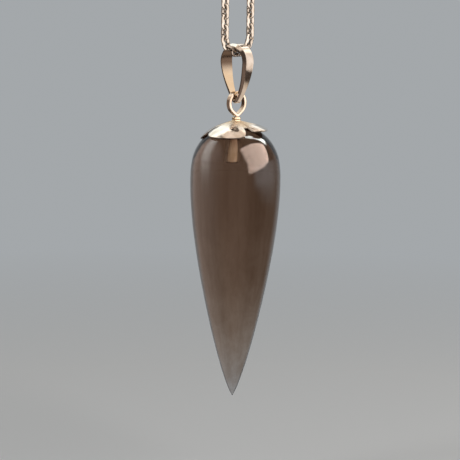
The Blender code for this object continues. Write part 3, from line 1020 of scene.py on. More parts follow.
@dataclass
class PetalCap:
    """The thin cap whose petals lie along the stone's shoulder."""

    stone: StoneDrop
    thickness: float = 0.4 * MM
    rim_thickness: float = 0.28 * MM
    notch: float = 3.0 * MM
    bore: float = 0.5 * MM
    petal_power: float = 4.0
    lift_power: float = 6.0
    peak: float = 0.55 * MM
    peak_radius: float = 3.2 * MM
    stand_off: float = 0.1 * MM
    back: Petal = Petal(30.0, 42.0, 5.4 * MM, 0.15 * MM, 0.2 * MM)
    left: Petal = Petal(114.0, 34.0, 5.8 * MM, 0.0, 0.0)
    front: Petal = Petal(200.0, 47.0, 5.35 * MM, 0.1 * MM, 0.2 * MM)
    right: Petal = Petal(305.0, 38.0, 5.2 * MM, 1.0 * MM, 0.1 * MM)
    segments: int = 384
    rings: int = 40
    rim_steps: int = 6
    sharp: float = 50.0
    slope_step: float = 1e-3
    gilt_radius: float = 3.7 * MM
    # Painted shade: its share on the middle of the left petal, and the normal's height below which a face is
    # fully shaded.
    left_shade: float = 0.95
    faces_down: float = -0.3

    def petal_at(self, angle: float) -> tuple[Petal, float]:
        """The petal at an angle.

        Args:
            angle: about the axis.

        Returns:
            The petal, and how far off its middle that is: 0 in the middle, 1 at its side or past it.
        """
        found = []
        for petal in (self.back, self.left, self.front, self.right):
            turn = (math.degrees(angle) - petal.angle + 180.0) % 360.0 - 180.0
            found.append((min(abs(turn) / petal.half_angle, 1.0), petal))
        off, petal = min(found, key=lambda pair: pair[0])
        return petal, off

    def under_side(self, angle: float, share: float) -> Vector:
        """A point of the cap's underside.

        Args:
            angle: about the axis.
            share: from 0 at the bore to 1 at the rim.

        Returns:
            The point in the frame.
        """
        petal, off = self.petal_at(angle)
        lobe = (1 - off**self.petal_power) ** (1 / self.petal_power)
        reach = self.notch + (petal.reach - self.notch) * lobe
        radius = self.bore + (reach - self.bore) * share
        lift = (1 - off**self.lift_power) * petal.lift * share**2
        bulge = (1 - off**2) * petal.puff * math.sin(math.pi * share)
        peak = self.peak * max(1 - radius / self.peak_radius, 0.0) ** 2
        height = self.stone.top + self.stand_off + lift + bulge + peak - self.stone.shoulder_drop(radius)
        return Vector((radius * math.cos(angle), radius * math.sin(angle), height))

    def up(self, angle: float, share: float) -> Vector:
        """Way out of the cap's underside, away from the stone.

        Args:
            angle: about the axis.
            share: from 0 at the bore to 1 at the rim.

        Returns:
            The unit normal.
        """
        step = self.slope_step
        round_about = self.under_side(angle + step, share) - self.under_side(angle - step, share)
        farther = self.under_side(angle, min(share + step, 1.0))
        nearer = self.under_side(angle, max(share - step, 0.0))
        normal = (farther - nearer).cross(round_about)
        return normal.normalized() if normal.z > 0 else -normal.normalized()

    def section(self, angle: float) -> list[Vector]:
        """The cap's wall at an angle.

        Args:
            angle: about the axis.

        Returns:
            Its closed outline, from the bore out underneath and back on top.
        """
        places = shares(self.rings)
        walls = [self.thickness + (self.rim_thickness - self.thickness) * share**2 for share in places]
        low = [self.under_side(angle, share) for share in places]
        normals = [self.up(angle, share) for share in places]
        high = [point + normal * wall for point, normal, wall in zip(low, normals, walls)]
        outward = (low[-1] - low[-2]).normalized()
        half = self.rim_thickness / 2
        centre = low[-1] + normals[-1] * half - outward * half
        rim = []
        for step in range(1, self.rim_steps):
            turn = -math.pi / 2 + math.pi * step / self.rim_steps
            rim.append(centre + outward * half * math.cos(turn) + normals[-1] * half * math.sin(turn))
        low[-1] = low[-1] - outward * half
        high[-1] = high[-1] - outward * half
        return low + rim + list(reversed(high))

    def build(self, silver: Material) -> None:
        """Makes and dresses the cap, gilt round its neck, with painted shade underneath and on its left
        petal.

        Args:
            silver: its finish.
        """
        sections = [self.section(angle) for angle in turns(self.segments)]
        mesh = grid_mesh("cap", sections, True, self.sharp)
        gilt = []
        dark = []
        for vert in mesh.vertices:
            near = max(1.0 - math.hypot(vert.co.x, vert.co.y) / self.gilt_radius, 0.0)
            gilt.append(near * (2 - near))
            # Painted shade on faces turned down under the cap, and on the left petal, fading towards its
            # sides.
            petal, off = self.petal_at(math.atan2(vert.co.y, vert.co.x))
            petal_shade = self.left_shade * (1 - off**2) if petal is self.left else 0.0
            dark.append(1.0 if vert.normal.z < self.faces_down else petal_shade)
        store(mesh, INSIDE, gilt)
        store(mesh, PAINTED_SHADE, dark)
        add_piece("silver_cap", mesh, silver, "drop", ["petal_cap"])


@dataclass(frozen=True)
class Ribbon:
    """A closed strip bent round a wide head and a narrow foot, standing along Z."""

    head_radius: float
    foot_radius: float
    span: float
    thickness: float
    head_width: float
    foot_width: float
    side_radius: float
    edge_round: float
    border: float = 0.0
    border_slope: float = 0.9
    corner_room: float = 0.45
    inner_depth: float = -0.45
    # Height from the head's centre where the painted shade on the inner face is half, and the height over
    # which it rises towards the head.
    shade_middle: float = -1.5 * MM
    shade_rise: float = 2.7 * MM
    head_steps: int = 72
    foot_steps: int = 28
    side_steps: int = 40
    face_steps: int = 10
    corner_steps: int = 5

    def half_width(self, height: float) -> float:
        """Half the strip's width at a height from its head's centre."""
        ease = smooth_step(-height / self.span)
        return (self.head_width + (self.foot_width - self.head_width) * ease) / 2

    def stations(self) -> list[tuple[Vector, Vector]]:
        """Points of the middle line, with the head's centre at zero.

        Returns:
            Each point and the way out of the strip there, both as flat vectors.
        """
        head = self.head_radius + self.thickness / 2
        foot = self.foot_radius + self.thickness / 2
        rise = (head - foot) * (2 * self.side_radius - head - foot) / (2 * self.span) - self.span / 2
        reach = math.sqrt((self.side_radius - head) ** 2 - rise**2)
        first = math.atan2(-rise, reach)
        last = math.atan2(-self.span - rise, reach)
        below = Vector((0.0, -self.span))
        runs = (
            (Vector((0.0, 0.0)), head, first, math.pi - first, self.head_steps),
            (Vector((reach, rise)), self.side_radius, math.pi - first, math.pi - last, self.side_steps),
            (below, foot, math.pi - last, 2 * math.pi + last, self.foot_steps),
            (Vector((-reach, rise)), self.side_radius, last, first, self.side_steps),
        )
        made = []
        for centre, radius, start, end, steps in runs:
            for step in range(steps):
                angle = start + (end - start) * step / steps
                way = Vector((math.cos(angle), math.sin(angle)))
                made.append((centre + way * radius, way))
        return made

    def corners(self, half_width: float) -> list[Vector]:
        """Corners of the strip's section.

        Args:
            half_width: of the strip there.

        Returns:
            Flat vectors: across, and out from the middle line.
        """
        deep = self.thickness / 2
        border = self.border * half_width
        fall = self.border_slope * border
        right = [(half_width - border, deep), (half_width, deep - fall), (half_width, -deep)]
        if border == 0.0:
            right = right[1:]
        left = [(-across, out) for across, out in reversed(right)]
        return [Vector(corner) for corner in left + right]

    def room(self, first: Vector, second: Vector) -> float:
        """How far a corner's rounding reaches along the two sides that meet in it."""
        return min(self.edge_round, self.corner_room * first.length, self.corner_room * second.length)

    def section(self, half_width: float) -> list[Vector]:
        """The strip's section with its corners rounded and its faces divided.

        Args:
            half_width: of the strip there.

        Returns:
            Flat vectors: across, and out from the middle line.
        """
        corners = self.corners(half_width)
        outline = []
        for index, corner in enumerate(corners):
            following = corners[(index + 1) % len(corners)]
            before = corners[index - 1] - corner
            after = following - corner
            beyond = corners[(index + 2) % len(corners)] - following
            room = self.room(before, after)
            start = corner + before.normalized() * room
            end = corner + after.normalized() * room
            for share in shares(self.corner_steps):
                outline.append(start.lerp(corner, share).lerp(corner.lerp(end, share), share))
            goal = following - after.normalized() * self.room(after, beyond)
            for step in range(1, self.face_steps):
                outline.append(end.lerp(goal, step / self.face_steps))
        return outline

    def mesh(self, name: str, along: Vector, across: Vector, place: Vector) -> Mesh:
        """The strip in place, with its inner face marked and given painted shade towards the head.

        Args:
            name: the mesh's name.
            along: the level direction in which the strip opens.
            across: the direction of its width.
            place: the centre of its head.

        Returns:
            The closed mesh.
        """
        rings = []
        inside = []
        patina_and_shade = []
        for point, way in self.stations():
            base = place + along * point.x + UPWARD * point.y
            out = along * way.x + UPWARD * way.y
            outline = self.section(self.half_width(point.y))
            rings.append([base + across * side + out * depth for side, depth in outline])
            inner = [1.0 if depth < self.inner_depth * self.thickness else 0.0 for _, depth in outline]
            inside += inner
            # Painted shade on the inner face, growing towards the head.
            level = smooth_step(0.5 + (point.y - self.shade_middle) / self.shade_rise)
            patina_and_shade += [level * share for share in inner]
        mesh = grid_mesh(name, rings, True)
        store(mesh, INSIDE, inside)
        store(mesh, PAINTED_SHADE, patina_and_shade)
        return mesh


@dataclass
class Hanger:
    """The folded bail, the drop-shaped loop in its foot, and the beaded neck below."""

    bail: Ribbon = Ribbon(
        head_radius=2.45 * MM,
        foot_radius=0.2 * MM,
        span=6.2 * MM,
        thickness=0.55 * MM,
        head_width=2.6 * MM,
        foot_width=1.3 * MM,
        side_radius=14.0 * MM,
        edge_round=0.07 * MM,
        border=0.35,
    )
    loop: Ribbon = Ribbon(
        head_radius=1.5 * MM,
        foot_radius=0.25 * MM,
        span=1.55 * MM,
        thickness=0.5 * MM,
        head_width=0.85 * MM,
        foot_width=0.85 * MM,
        side_radius=8.0 * MM,
        edge_round=0.16 * MM,
    )
    collar_waist: float = 0.66 * MM
    collar_bead: float = 0.09 * MM
    collar_beads: int = 2
    bead_power: float = 0.7
    bead_steps: int = 16
    collar_bore: float = 0.5 * MM
    collar_flare: float = 0.12 * MM
    flare_power: int = 4
    collar_segments: int = 64
    collar_sharp: float = 60.0

    def collar_profile(self) -> list[Flat]:
        """The neck's rounded beads, bored from below for the peg.

        Returns:
            Radius and height of each point.
        """
        low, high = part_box("neck_collar")
        height = high.z - low.z
        profile = [(0.0, high.z)]
        for share in shares(self.bead_steps * self.collar_beads):
            wave = abs(math.sin(math.pi * self.collar_beads * share))
            swell = self.collar_bead * wave**self.bead_power
            flare = self.collar_flare * share**self.flare_power
            profile.append((self.collar_waist + swell + flare, high.z - height * share))
        roof = high.z - self.collar_waist / 2
        return profile + [(self.collar_bore, low.z), (self.collar_bore, roof), (0.0, roof)]

    def build(self, bail_silver: Material, loop_silver: Material, solder: Material) -> None:
        """Makes and dresses the bail, the loop and the neck.

        Args:
            bail_silver: the bail's finish.
            loop_silver: the loop's finish.
            solder: the neck's finish.
        """
        bail = self.bail.mesh("bail_ribbon", ALONG_Y, ALONG_X, joint_place("bail_swing"))
        add_piece("silver_bail", bail, bail_silver, "bail", ["bail"])
        loop = self.loop.mesh("loop_strip", ALONG_X, ALONG_Y, joint_place("drop_swing"))
        add_piece("silver_loop", loop, loop_silver, "drop", ["hanging_loop"], WIRE_LIT)
        collar = turned_mesh("collar", self.collar_profile(), self.collar_segments, self.collar_sharp)
        add_piece("beaded_neck", collar, solder, "drop", ["neck_collar"], WIRE_LIT)


@dataclass(frozen=True)
class LinkSize:
    """A link's wire, the length and width of its opening, and how much thicker its legs are in the middle."""

    wire: float
    inner_length: float
    inner_width: float
    belly: float = 0.0


@dataclass
class CableChain:
    """The two strands of links, the links under the bail's crown, and the rings at the ends."""

    wire: float = 0.5 * MM
    inner_length: float = 1.75 * MM
    inner_width: float = 0.65 * MM
    belly: float = 0.42
    belly_reach: float = 0.37 * MM
    shade: float = 0.4
    ring_wire: float = 0.6 * MM
    ring_radius: float = 1.2 * MM
    links_per_strand: int = 6
    seat_links: int = 5
    seat_shade: float = 0.6
    wire_sides: int = 24
    bend_points: int = 12
    bend_share: float = 0.4999
    path_points: int = 72

    def bent_wire(self, graph: Graph, given: bpy.types.NodeOutputs) -> Socket:
        """One link lying flat, its legs thicker in the middle and drawn inwards there.

        Args:
            graph: the tree's graph.
            given: the tree's inputs.

        Returns:
            The link's mesh.
        """
        width = graph.maths("ADD", given["Inner Width"], given["Wire"])
        length = graph.maths("ADD", given["Inner Length"], given["Wire"])
        outline = graph.made("GeometryNodeCurvePrimitiveQuadrilateral", {"Width": width, "Height": length})
        bend = graph.maths("MULTIPLY", width, self.bend_share)
        corners = {"Curve": outline, "Radius": bend, "Count": given["Bend Points"]}
        rounded = graph.made("GeometryNodeFilletCurve", corners, mode="POLY")
        path = graph.made("GeometryNodeResampleCurve", {"Curve": rounded, "Count": self.path_points})
        spot = graph.add("ShaderNodeSeparateXYZ", {0: graph.made("GeometryNodeInputPosition")}).outputs
        share = graph.maths("DIVIDE", spot["Y"], self.belly_reach)
        dome = graph.maths("SUBTRACT", 1.0, graph.maths("MULTIPLY", share, share))
        swell = graph.maths("MULTIPLY", given["Belly"], graph.maths("MAXIMUM", dome, 0.0))
        half_wire = graph.maths("MULTIPLY", given["Wire"], 0.5)
        depth = graph.maths("MULTIPLY", swell, graph.maths("MULTIPLY", half_wire, -1.0))
        inward = graph.maths("MULTIPLY", graph.maths("SIGN", spot["X"]), depth)
        shift = graph.made("ShaderNodeCombineXYZ", {"X": inward})
        drawn_in = graph.made("GeometryNodeSetPosition", {"Geometry": path, "Offset": shift})
        circle = {"Resolution": given["Wire Sides"], "Radius": half_wire}
        section = graph.made("GeometryNodeCurvePrimitiveCircle", circle)
        swept = {"Curve": drawn_in, "Profile Curve": section, "Scale": graph.maths("ADD", 1.0, swell)}
        return graph.made("GeometryNodeCurveToMesh", swept)

    def marked_inside(self, graph: Graph, wire: Socket) -> Socket:
        """A link that stores how far its faces turn inwards, where its silver paints shade.

        Args:
            graph: the tree's graph.
            wire: the link's mesh.

        Returns:
            The mesh with the attribute.
        """
        outward = {0: graph.made("GeometryNodeInputPosition")}
        ways = {0: graph.made("ShaderNodeVectorMath", outward, operation="NORMALIZE")}
        ways[1] = graph.made("GeometryNodeInputNormal")
        facing = graph.add("ShaderNodeVectorMath", ways, operation="DOT_PRODUCT").outputs["Value"]
        turned_in = graph.spread(facing, 1.0, 0.0, -self.shade, self.shade)
        values = {"Geometry": wire, "Name": INSIDE, "Value": turned_in}
        return graph.made("GeometryNodeStoreNamedAttribute", values, data_type="FLOAT")

    def tree(self) -> bpy.types.NodeTree:
        """Geometry Nodes that set a wire link on each point of a mesh, leaning and turned as it says.

        Returns:
            The tree.
        """
        group = bpy.data.node_groups.new("wire_links", "GeometryNodeTree")
        group.is_modifier = True
        kinds = {
            "Places": "Geometry",
            "Wire": "Float",
            "Inner Length": "Float",
            "Inner Width": "Float",
            "Belly": "Float",
            "Wire Sides": "Int",
            "Bend Points": "Int",
            "Finish": "Material",
        }
        for label, kind in kinds.items():
            group.interface.new_socket(label, in_out="INPUT", socket_type=f"NodeSocket{kind}")
        group.interface.new_socket("Links", in_out="OUTPUT", socket_type="NodeSocketGeometry")
        graph = Graph(group)
        given = graph.add("NodeGroupInput").outputs
        flat = self.marked_inside(graph, self.bent_wire(graph, given))
        upright = graph.made("GeometryNodeTransform", {"Geometry": flat, "Rotation": (math.pi / 2, 0.0, 0.0)})
        ways = []
        for axis, name in (("Z", "turn"), ("Y", "lean")):
            angle = graph.made("GeometryNodeInputNamedAttribute", {"Name": name}, data_type="FLOAT")
            about = graph.made("ShaderNodeCombineXYZ", {axis: angle})
            ways.append(graph.made("FunctionNodeEulerToRotation", {0: about}))
        way = graph.made("FunctionNodeRotateRotation", dict(enumerate(ways)), rotation_space="GLOBAL")
        spots = {"Points": given["Places"], "Instance": upright, "Rotation": way}
        placed = graph.made("GeometryNodeInstanceOnPoints", spots)
        shaded = graph.made("GeometryNodeSetShadeSmooth", {0: placed})
        real = graph.made("GeometryNodeRealizeInstances", {0: shaded})
        dressed = graph.made("GeometryNodeSetMaterial", {"Geometry": real, "Material": given["Finish"]})
        graph.add("NodeGroupOutput", {"Links": dressed})
        return group

    def links_mesh(
        self,
        tree: bpy.types.NodeTree,
        places: Sequence[tuple[Vector, float, Facing]],
        size: LinkSize,
        silver: Material,
    ) -> Mesh:
        """Links at given places, as one plain mesh.

        Args:
            tree: the Geometry Nodes that make the links.
            places: centre, lean about Y and facing of each link.
            size: of the links.
            silver: their finish.

        Returns:
            The plain mesh.
        """
        points = bpy.data.meshes.new("link_places")
        points.from_pydata([place for place, _, _ in places], [], [])
        store(points, "lean", [lean for _, lean, _ in places])
        store(points, "turn", [facing.value for _, _, facing in places])
        inputs = {
            "Wire": size.wire,
            "Inner Length": size.inner_length,
            "Inner Width": size.inner_width,
            "Belly": size.belly,
            "Wire Sides": self.wire_sides,
            "Bend Points": self.bend_points,
            "Finish": silver,
        }

        def add(holder: SceneObject) -> None:
            """Adds the tree and sets its inputs by their identifiers.

            Args:
                holder: the object that it goes on.
            """
            modifier = holder.modifiers.new("links", "NODES")
            modifier.node_group = tree
            for item in tree.interface.items_tree:
                if item.in_out == "INPUT" and item.name in inputs:
                    modifier[item.identifier] = inputs[item.name]

        return cleaned(settled(points, add), "links")

    def lean_of(self, node: str) -> float:
        """Lean of a seat link, from the shape of its CAD node.

        Args:
            node: the link's node.

        Returns:
            The angle about Y.
        """
        points = [vert.co for vert in frame["nodes"][node].data.vertices]
        centre = middle(node)
        far = max(points, key=lambda point: math.hypot(point.x - centre.x, point.z - centre.z))
        near = [point for point in points if (point - far).length < self.wire]
        tip = sum(near, Vector()) / len(near)
        return math.atan2(tip.x - centre.x, tip.z - centre.z)

    def seat_mesh(self, tree: bpy.types.NodeTree, names: Sequence[str], silver: Material) -> Mesh:
        """The links in the bail's crown, of which those between the two ends get painted shade.

        Args:
            tree: the Geometry Nodes that make the links.
            names: the links' nodes, in order.
            silver: their finish.

        Returns:
            One plain mesh.
        """
        size = LinkSize(self.wire, self.inner_length, self.inner_width, self.belly)
        seat = bmesh.new()
        for number, node in enumerate(names, 1):
            place = (middle(node), self.lean_of(node), Facing.of(number))
            made = self.links_mesh(tree, [place], size, silver)
            # Painted shade on the links deep in the crown.
            shade_share = self.seat_shade if 1 < number < len(names) else 0.0
            store(made, PAINTED_SHADE, [shade_share] * len(made.vertices))
            seat.from_mesh(made)
        return close_mesh(seat, "seat_links")

    def build(self, silver: Material) -> None:
        """Makes and dresses the rings, each pair of links, and the links in the bail.

        Args:
            silver: their finish.
        """
        tree = self.tree()
        ring_bore = 2 * self.ring_radius - self.ring_wire
        names = ["left_end_ring", "right_end_ring"]
        places = [(middle(node), 0.0, Facing.ACROSS) for node in names]
        mesh = self.links_mesh(tree, places, LinkSize(self.ring_wire, ring_bore, ring_bore), silver)
        add_piece("jump_rings", mesh, silver, "end_rings", names, [Lit.WIRE])
        for number in range(1, self.links_per_strand + 1):
            names = [f"left_link_{number}", f"right_link_{number}"]
            places = [(middle(node), 0.0, Facing.of(number)) for node in names]
            # The links next to the rings have plain legs.
            belly = 0.0 if number == 1 else self.belly
            size = LinkSize(self.wire, self.inner_length, self.inner_width, belly)
            mesh = self.links_mesh(tree, places, size, silver)
            body = f"links_{number}"
            add_piece(f"chain_links_{number}", mesh, silver, body, names, [Lit.WIRE])
        names = [f"seat_link_{number}" for number in range(1, self.seat_links + 1)]
        mesh = self.seat_mesh(tree, names, silver)
        add_piece("chain_links_in_bail", mesh, silver, "seat", names, [Lit.WIRE])


@dataclass
class Clasp:
    """The cast claw with its hook and tail eye, the lever on its riveted pin, and the lever's spring."""

    bar: float = 0.8 * MM
    bar_sides: int = 28
    tail_radius: float = 0.95 * MM
    tail_sink: float = 0.35 * MM
    tail_steps: int = 48
    hook_radius: float = 1.25 * MM
    hook_tip: float = 0.5 * MM
    hook_root: float = 0.7 * MM
    hook_steps: int = 28
    ring_wire: float = 0.6 * MM
    body_length: float = 2.7 * MM
    body_thickness: float = 2.2 * MM
    body_round: float = 0.5 * MM
    body_steps: int = 8
    body_sole: float = 0.12 * MM
    cheek_round: float = 0.35 * MM
    cheek_steps: int = 5
    back_wall: float = 0.45 * MM
    slot_gap: float = 0.06 * MM
    lever_height: float = 0.7 * MM
    lever_thickness: float = 0.8 * MM
    lever_edge: float = 0.08 * MM
    lever_edge_steps: int = 3
    lever_tip_gap: float = 0.1 * MM
    lever_tip_steps: int = 14
    boss_radius: float = 0.6 * MM
    boss_steps: int = 28
    thumb_height: float = 0.6 * MM
    thumb_length: float = 0.9 * MM
    thumb_steps: int = 18
    pin_radius: float = 0.3 * MM
    pin_segments: int = 40
    claw_hole_gap: float = 0.05 * MM
    lever_hole_gap: float = 0.06 * MM
    rivet_head: float = 0.08 * MM
    rivet_dome: tuple[float, ...] = (0.0, 0.5, 1.0)
    spring_wire: float = 0.14 * MM
    spring_sides: int = 12
    spring_turns: int = 2
    spring_turn_steps: int = 40
    spring_pressed: float = 0.5
    grain: float = 0.045 * MM
    smoothing: int = 8
    smoothing_share: float = 0.5
    pin: Vector = field(init=False)
    rim: float = field(init=False)
    strand: float = field(init=False)
    slot_floor: float = field(init=False)
    body_left: float = field(init=False)

    def __post_init__(self) -> None:
        """Takes the clasp's driving places from the frame."""
        self.pin = joint_place("clasp_lever_press")
        self.rim = joint_place("end_rings_fold").z
        self.strand = middle("right_link_1").x
        self.slot_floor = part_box("clasp_spring")[0].z - self.claw_hole_gap
        self.body_left = self.tail_radius + self.bar / 2 - self.tail_sink - self.strand

    def body_outline(self) -> list[Flat]:
        """The body from the side, with round corners.

        Returns:
            Its outline in X and Z.
        """
        soft = self.body_round
        left, right = self.body_left + soft, self.body_left + self.body_length - soft
        low, high = self.rim - self.bar / 2 - self.body_sole + soft, -soft
        outline = []
        for quarter, corner in enumerate(((right, high), (left, high), (left, low), (right, low))):
            start = quarter * math.pi / 2
            outline += arc(corner, soft, start, start + math.pi / 2, self.body_steps)
        return outline

    def lever_outline(self) -> list[Flat]:
        """The lever from its round tip over the thumb ridge to the boss on the pin and back.

        Returns:
            Its outline in X and Z.
        """
        half = self.lever_height / 2
        tip_end = self.strand - self.hook_tip - self.lever_tip_gap
        tip = (tip_end - half, self.pin.z)
        outline = arc(tip, half, -math.pi / 2, math.pi / 2, self.lever_tip_steps)
        ridge_end = tip_end - self.lever_height
        for share in shares(self.thumb_steps):
            swell = self.thumb_height * math.sin(math.pi * share)
            outline.append((ridge_end - self.thumb_length * share, self.pin.z + half + swell))
        meet = math.asin(half / self.boss_radius)
        boss = (self.pin.x, self.pin.z)
        return outline + arc(boss, self.boss_radius, meet, 2 * math.pi - meet, self.boss_steps)

    def hook_path(self) -> list[Vector]:
        """Middle line of the bar from inside the body, round the bend and back to the tip.

        Returns:
            Its points.
        """
        centre = (self.strand + self.ring_wire, self.rim + self.hook_radius)
        bend = arc(centre, self.hook_radius, -math.pi / 2, math.pi / 2, self.hook_steps)
        root = (self.body_left + self.body_length - self.hook_root, self.rim)
        end = (self.strand - self.hook_tip, self.pin.z)
        return [Vector((x, 0.0, z)) for x, z in [root] + bend + [end]]

    def tail_path(self) -> list[Vector]:
        """Middle line of the tail eye.

        Returns:
            Its points, once round.
        """
        centre = (-self.strand, self.rim + self.tail_radius)
        circle = arc(centre, self.tail_radius, 0.0, 2 * math.pi, self.tail_steps)
        return [Vector((x, 0.0, z)) for x, z in circle[:-1]]

    def pin_rod(self, radius: float, length: float, dome: float) -> Mesh:
        """A rod along Y on the pin's place.

        Args:
            radius: of the rod.
            length: of the rod, domes included.
            dome: height of its domed ends.

        Returns:
            The closed mesh.
        """
        half = length / 2
        end = [(radius * math.cos(a), half - dome + dome * math.sin(a)) for a in self.rivet_dome]
        profile = [(0.0, half)] + list(reversed(end)) + [(r, -h) for r, h in end] + [(0.0, -half)]
        rod = turned_mesh("pin", profile, self.pin_segments)
        rod.transform(Matrix.Translation(self.pin) @ Matrix.Rotation(math.pi / 2, 4, "X"))
        return rod

    def slot_block(self) -> Mesh:
        """The space of the slot that the lever lies in, open at the top and towards the hook.

        Returns:
            The closed mesh.
        """
        left = self.body_left + self.back_wall
        right = self.body_left + self.body_length + self.hook_tip
        high = self.lever_height
        outline = [(left, self.slot_floor), (right, self.slot_floor), (right, high), (left, high)]
        return plate_mesh("slot", outline, self.lever_thickness + 2 * self.slot_gap)

    def claw_mesh(self) -> Mesh:
        """Body, hook and tail eye run into one another as in a casting, then slotted and drilled.

        Returns:
            The closed mesh.
        """
        block = plate_mesh("body", self.body_outline(), self.body_thickness)
        body = settled(block, edge_rounding(self.cheek_round, self.cheek_steps))
        hook = tube_mesh("hook", self.hook_path(), self.bar / 2, self.bar_sides, False)
        tail = tube_mesh("tail", self.tail_path(), self.bar / 2, self.bar_sides, True)
        work = bmesh.new()
        for mesh in (body, hook, tail):
            work.from_mesh(mesh)
        rough = bpy.data.meshes.new("claw")
        work.to_mesh(rough)
        work.free()
        rough.transform(Matrix.Scale(1 / MM, 4))

        def cast(holder: SceneObject) -> None:
            """Melts the shapes together and eases their meetings.

            Args:
                holder: the object that it goes on.
            """
            melt = holder.modifiers.new("melt", "REMESH")
            melt.mode = "VOXEL"
            melt.voxel_size = self.grain / MM
            ease = holder.modifiers.new("ease", "SMOOTH")
            ease.factor = self.smoothing_share
            ease.iterations = self.smoothing

        whole = settled(rough, cast)
        whole.transform(Matrix.Scale(MM, 4))
        hole = self.pin_rod(self.pin_radius + self.claw_hole_gap, 2 * self.body_thickness, 0.0)
        return cleaned(cut(cut(whole, self.slot_block()), hole), "claw")

    def lever_mesh(self) -> Mesh:
        """The lever with its pin hole and soft edges.

        Returns:
            The closed mesh.
        """
        plate = plate_mesh("lever", self.lever_outline(), self.lever_thickness)
        hole = self.pin_rod(self.pin_radius + self.lever_hole_gap, 2 * self.body_thickness, 0.0)
        soft = edge_rounding(self.lever_edge, self.lever_edge_steps)
        return cleaned(settled(cut(plate, hole), soft), "lever")

    def spring_path(self) -> list[Vector]:
        """Middle line of the coil, whose two ends stand upright for one wire's diameter.

        Returns:
            Its points, from below.
        """
        low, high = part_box("clasp_spring")
        centre = (low + high) / 2
        radius = (high.y - low.y - self.spring_wire) / 2
        left = low.x + self.spring_wire / 2 + radius
        rise = high.z - low.z - 2 * self.spring_wire
        steps = self.spring_turn_steps * self.spring_turns
        path = []
        for step in range(steps + 1):
            angle = 2 * math.pi * self.spring_turns * step / steps
            z = low.z + self.spring_wire + rise * step / steps
            path.append(Vector((left + radius * math.cos(angle), centre.y + radius * math.sin(angle), z)))
        half = self.spring_wire / 2
        foot = Vector((path[0].x, path[0].y, low.z + half))
        head = Vector((path[-1].x, path[-1].y, high.z - half))
        return [foot] + path + [head]

    def build(self, silver: Material, steel: Material) -> None:
        """Makes and dresses the claw, the lever, the pin and the spring.

        Args:
            silver: finish of the claw and the lever.
            steel: finish of the pin and the spring.
        """
        add_piece("cast_claw", self.claw_mesh(), silver, "clasp", ["clasp_claw"], CLASP_LIT)
        lever = self.lever_mesh()
        add_piece("thumb_lever", lever, silver, "clasp_lever", ["clasp_lever"], CLASP_LIT)
        pin = self.pin_rod(self.pin_radius, self.body_thickness + 2 * self.rivet_head, self.rivet_head)
        add_piece("riveted_pin", pin, steel, "clasp", ["clasp_pin"], CLASP_LIT)
        coil = tube_mesh("coil", self.spring_path(), self.spring_wire / 2, self.spring_sides, False)
        spring = add_piece("lever_spring", coil, steel, "clasp", ["clasp_spring"], CLASP_LIT)
        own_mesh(spring)


def oblong(left: float, right: float, low: float, high: float) -> Corners:
    """Corners of a card with upright and level sides, in degrees."""
    return (left, low), (right, low), (right, high), (left, high)


@dataclass(frozen=True)
class Card:
    """A soft bright card that only mirrors see.

    Its corners, from the lower left round to the upper left, are degrees to the right of the camera and above
    level. It fades over a share of its breadth at its left, right, lower and upper side.
    """

    name: str
    lit: Lit
    corners: Corners
    distance: float
    colour: Colour
    soft: tuple[float, float, float, float] = (0.2, 0.2, 0.2, 0.2)
    left_share: float = 1.0

    def glow(self, across: float, rise: float) -> float:
        """Brightness at a place on the card.

        Args:
            across: from 0 at its left side to 1 at its right.
            rise: from 0 at its lower side to 1 at its upper.

        Returns:
            A share of the card's colour.
        """
        faded = 1.0
        for share, soft in zip((across, 1 - across, rise, 1 - rise), self.soft):
            faded *= smooth_step(share / max(soft, LEAST_SOFTNESS))
        return faded * (self.left_share + (1 - self.left_share) * across)

    def material(self) -> Material:
        """The card's light, which nothing that looks through the stone sees.

        Returns:
            The material.
        """
        material = bpy.data.materials.new(self.name)
        material.use_nodes = True
        graph = Graph(material.node_tree)
        through = graph.add("ShaderNodeLightPath").outputs[Ray.TRANSMISSION.value]
        shown = graph.maths("MULTIPLY", graph.attribute(GLOW), graph.maths("SUBTRACT", 1.0, through))
        light = graph.made("ShaderNodeEmission", {"Color": (*self.colour, 1.0), "Strength": shown})
        clear = graph.made("ShaderNodeBsdfTransparent")
        graph.show(Surface=graph.made("ShaderNodeAddShader", {0: light, 1: clear}))
        return material


@dataclass(frozen=True)
class Panel:
    """A soft rectangular light, placed by degrees to the right of the camera and above level."""

    name: str
    azimuth: float
    elevation: float
    distance: float
    size: Flat
    radiance: float
    colour: Colour


STONE_CARDS = (
    Card(
        "window_glare", Lit.STONE, ((31.0, 1.3), (97.1, 8.1), (121.9, 36.7), (9.0, 53.9)),
        0.41, (9.9, 7.5, 6.3), (0.16, 0.05, 0.06, 0.08), 0.7,
    ),
    Card(
        "left_haze", Lit.STONE, oblong(-145.0, -30.0, -40.0, 45.0),
        0.40, (1.3, 1.06, 0.96), (0.3, 0.5, 0.75, 0.3),
    ),
    Card(
        "front_haze", Lit.STONE, oblong(-60.0, 60.0, -34.0, 30.0),
        0.43, (0.55, 0.38, 0.29), (0.4, 0.5, 0.4, 0.4),
    ),
    Card(
        "right_haze", Lit.STONE, ((42.0, -9.0), (135.0, -12.0), (135.0, 10.0), (42.0, 10.0)),
        0.44, (0.95, 1.02, 1.08), (0.25, 0.6, 0.4, 0.2),
    ),
    Card(
        "left_highlight", Lit.STONE, ((-98.0, -14.0), (-54.0, -10.0), (-96.0, 58.0), (-150.0, 50.0)),
        0.38, (2.3, 2.4, 2.35), (0.35, 0.45, 0.6, 0.15),
    ),
    Card(
        "crescent", Lit.STONE, ((108.0, 71.0), (124.0, 27.0), (141.0, 27.0), (132.0, 73.0)),
        0.42, (10.0, 10.6, 10.2), (0.1, 0.1, 0.25, 0.1),
    ),
)

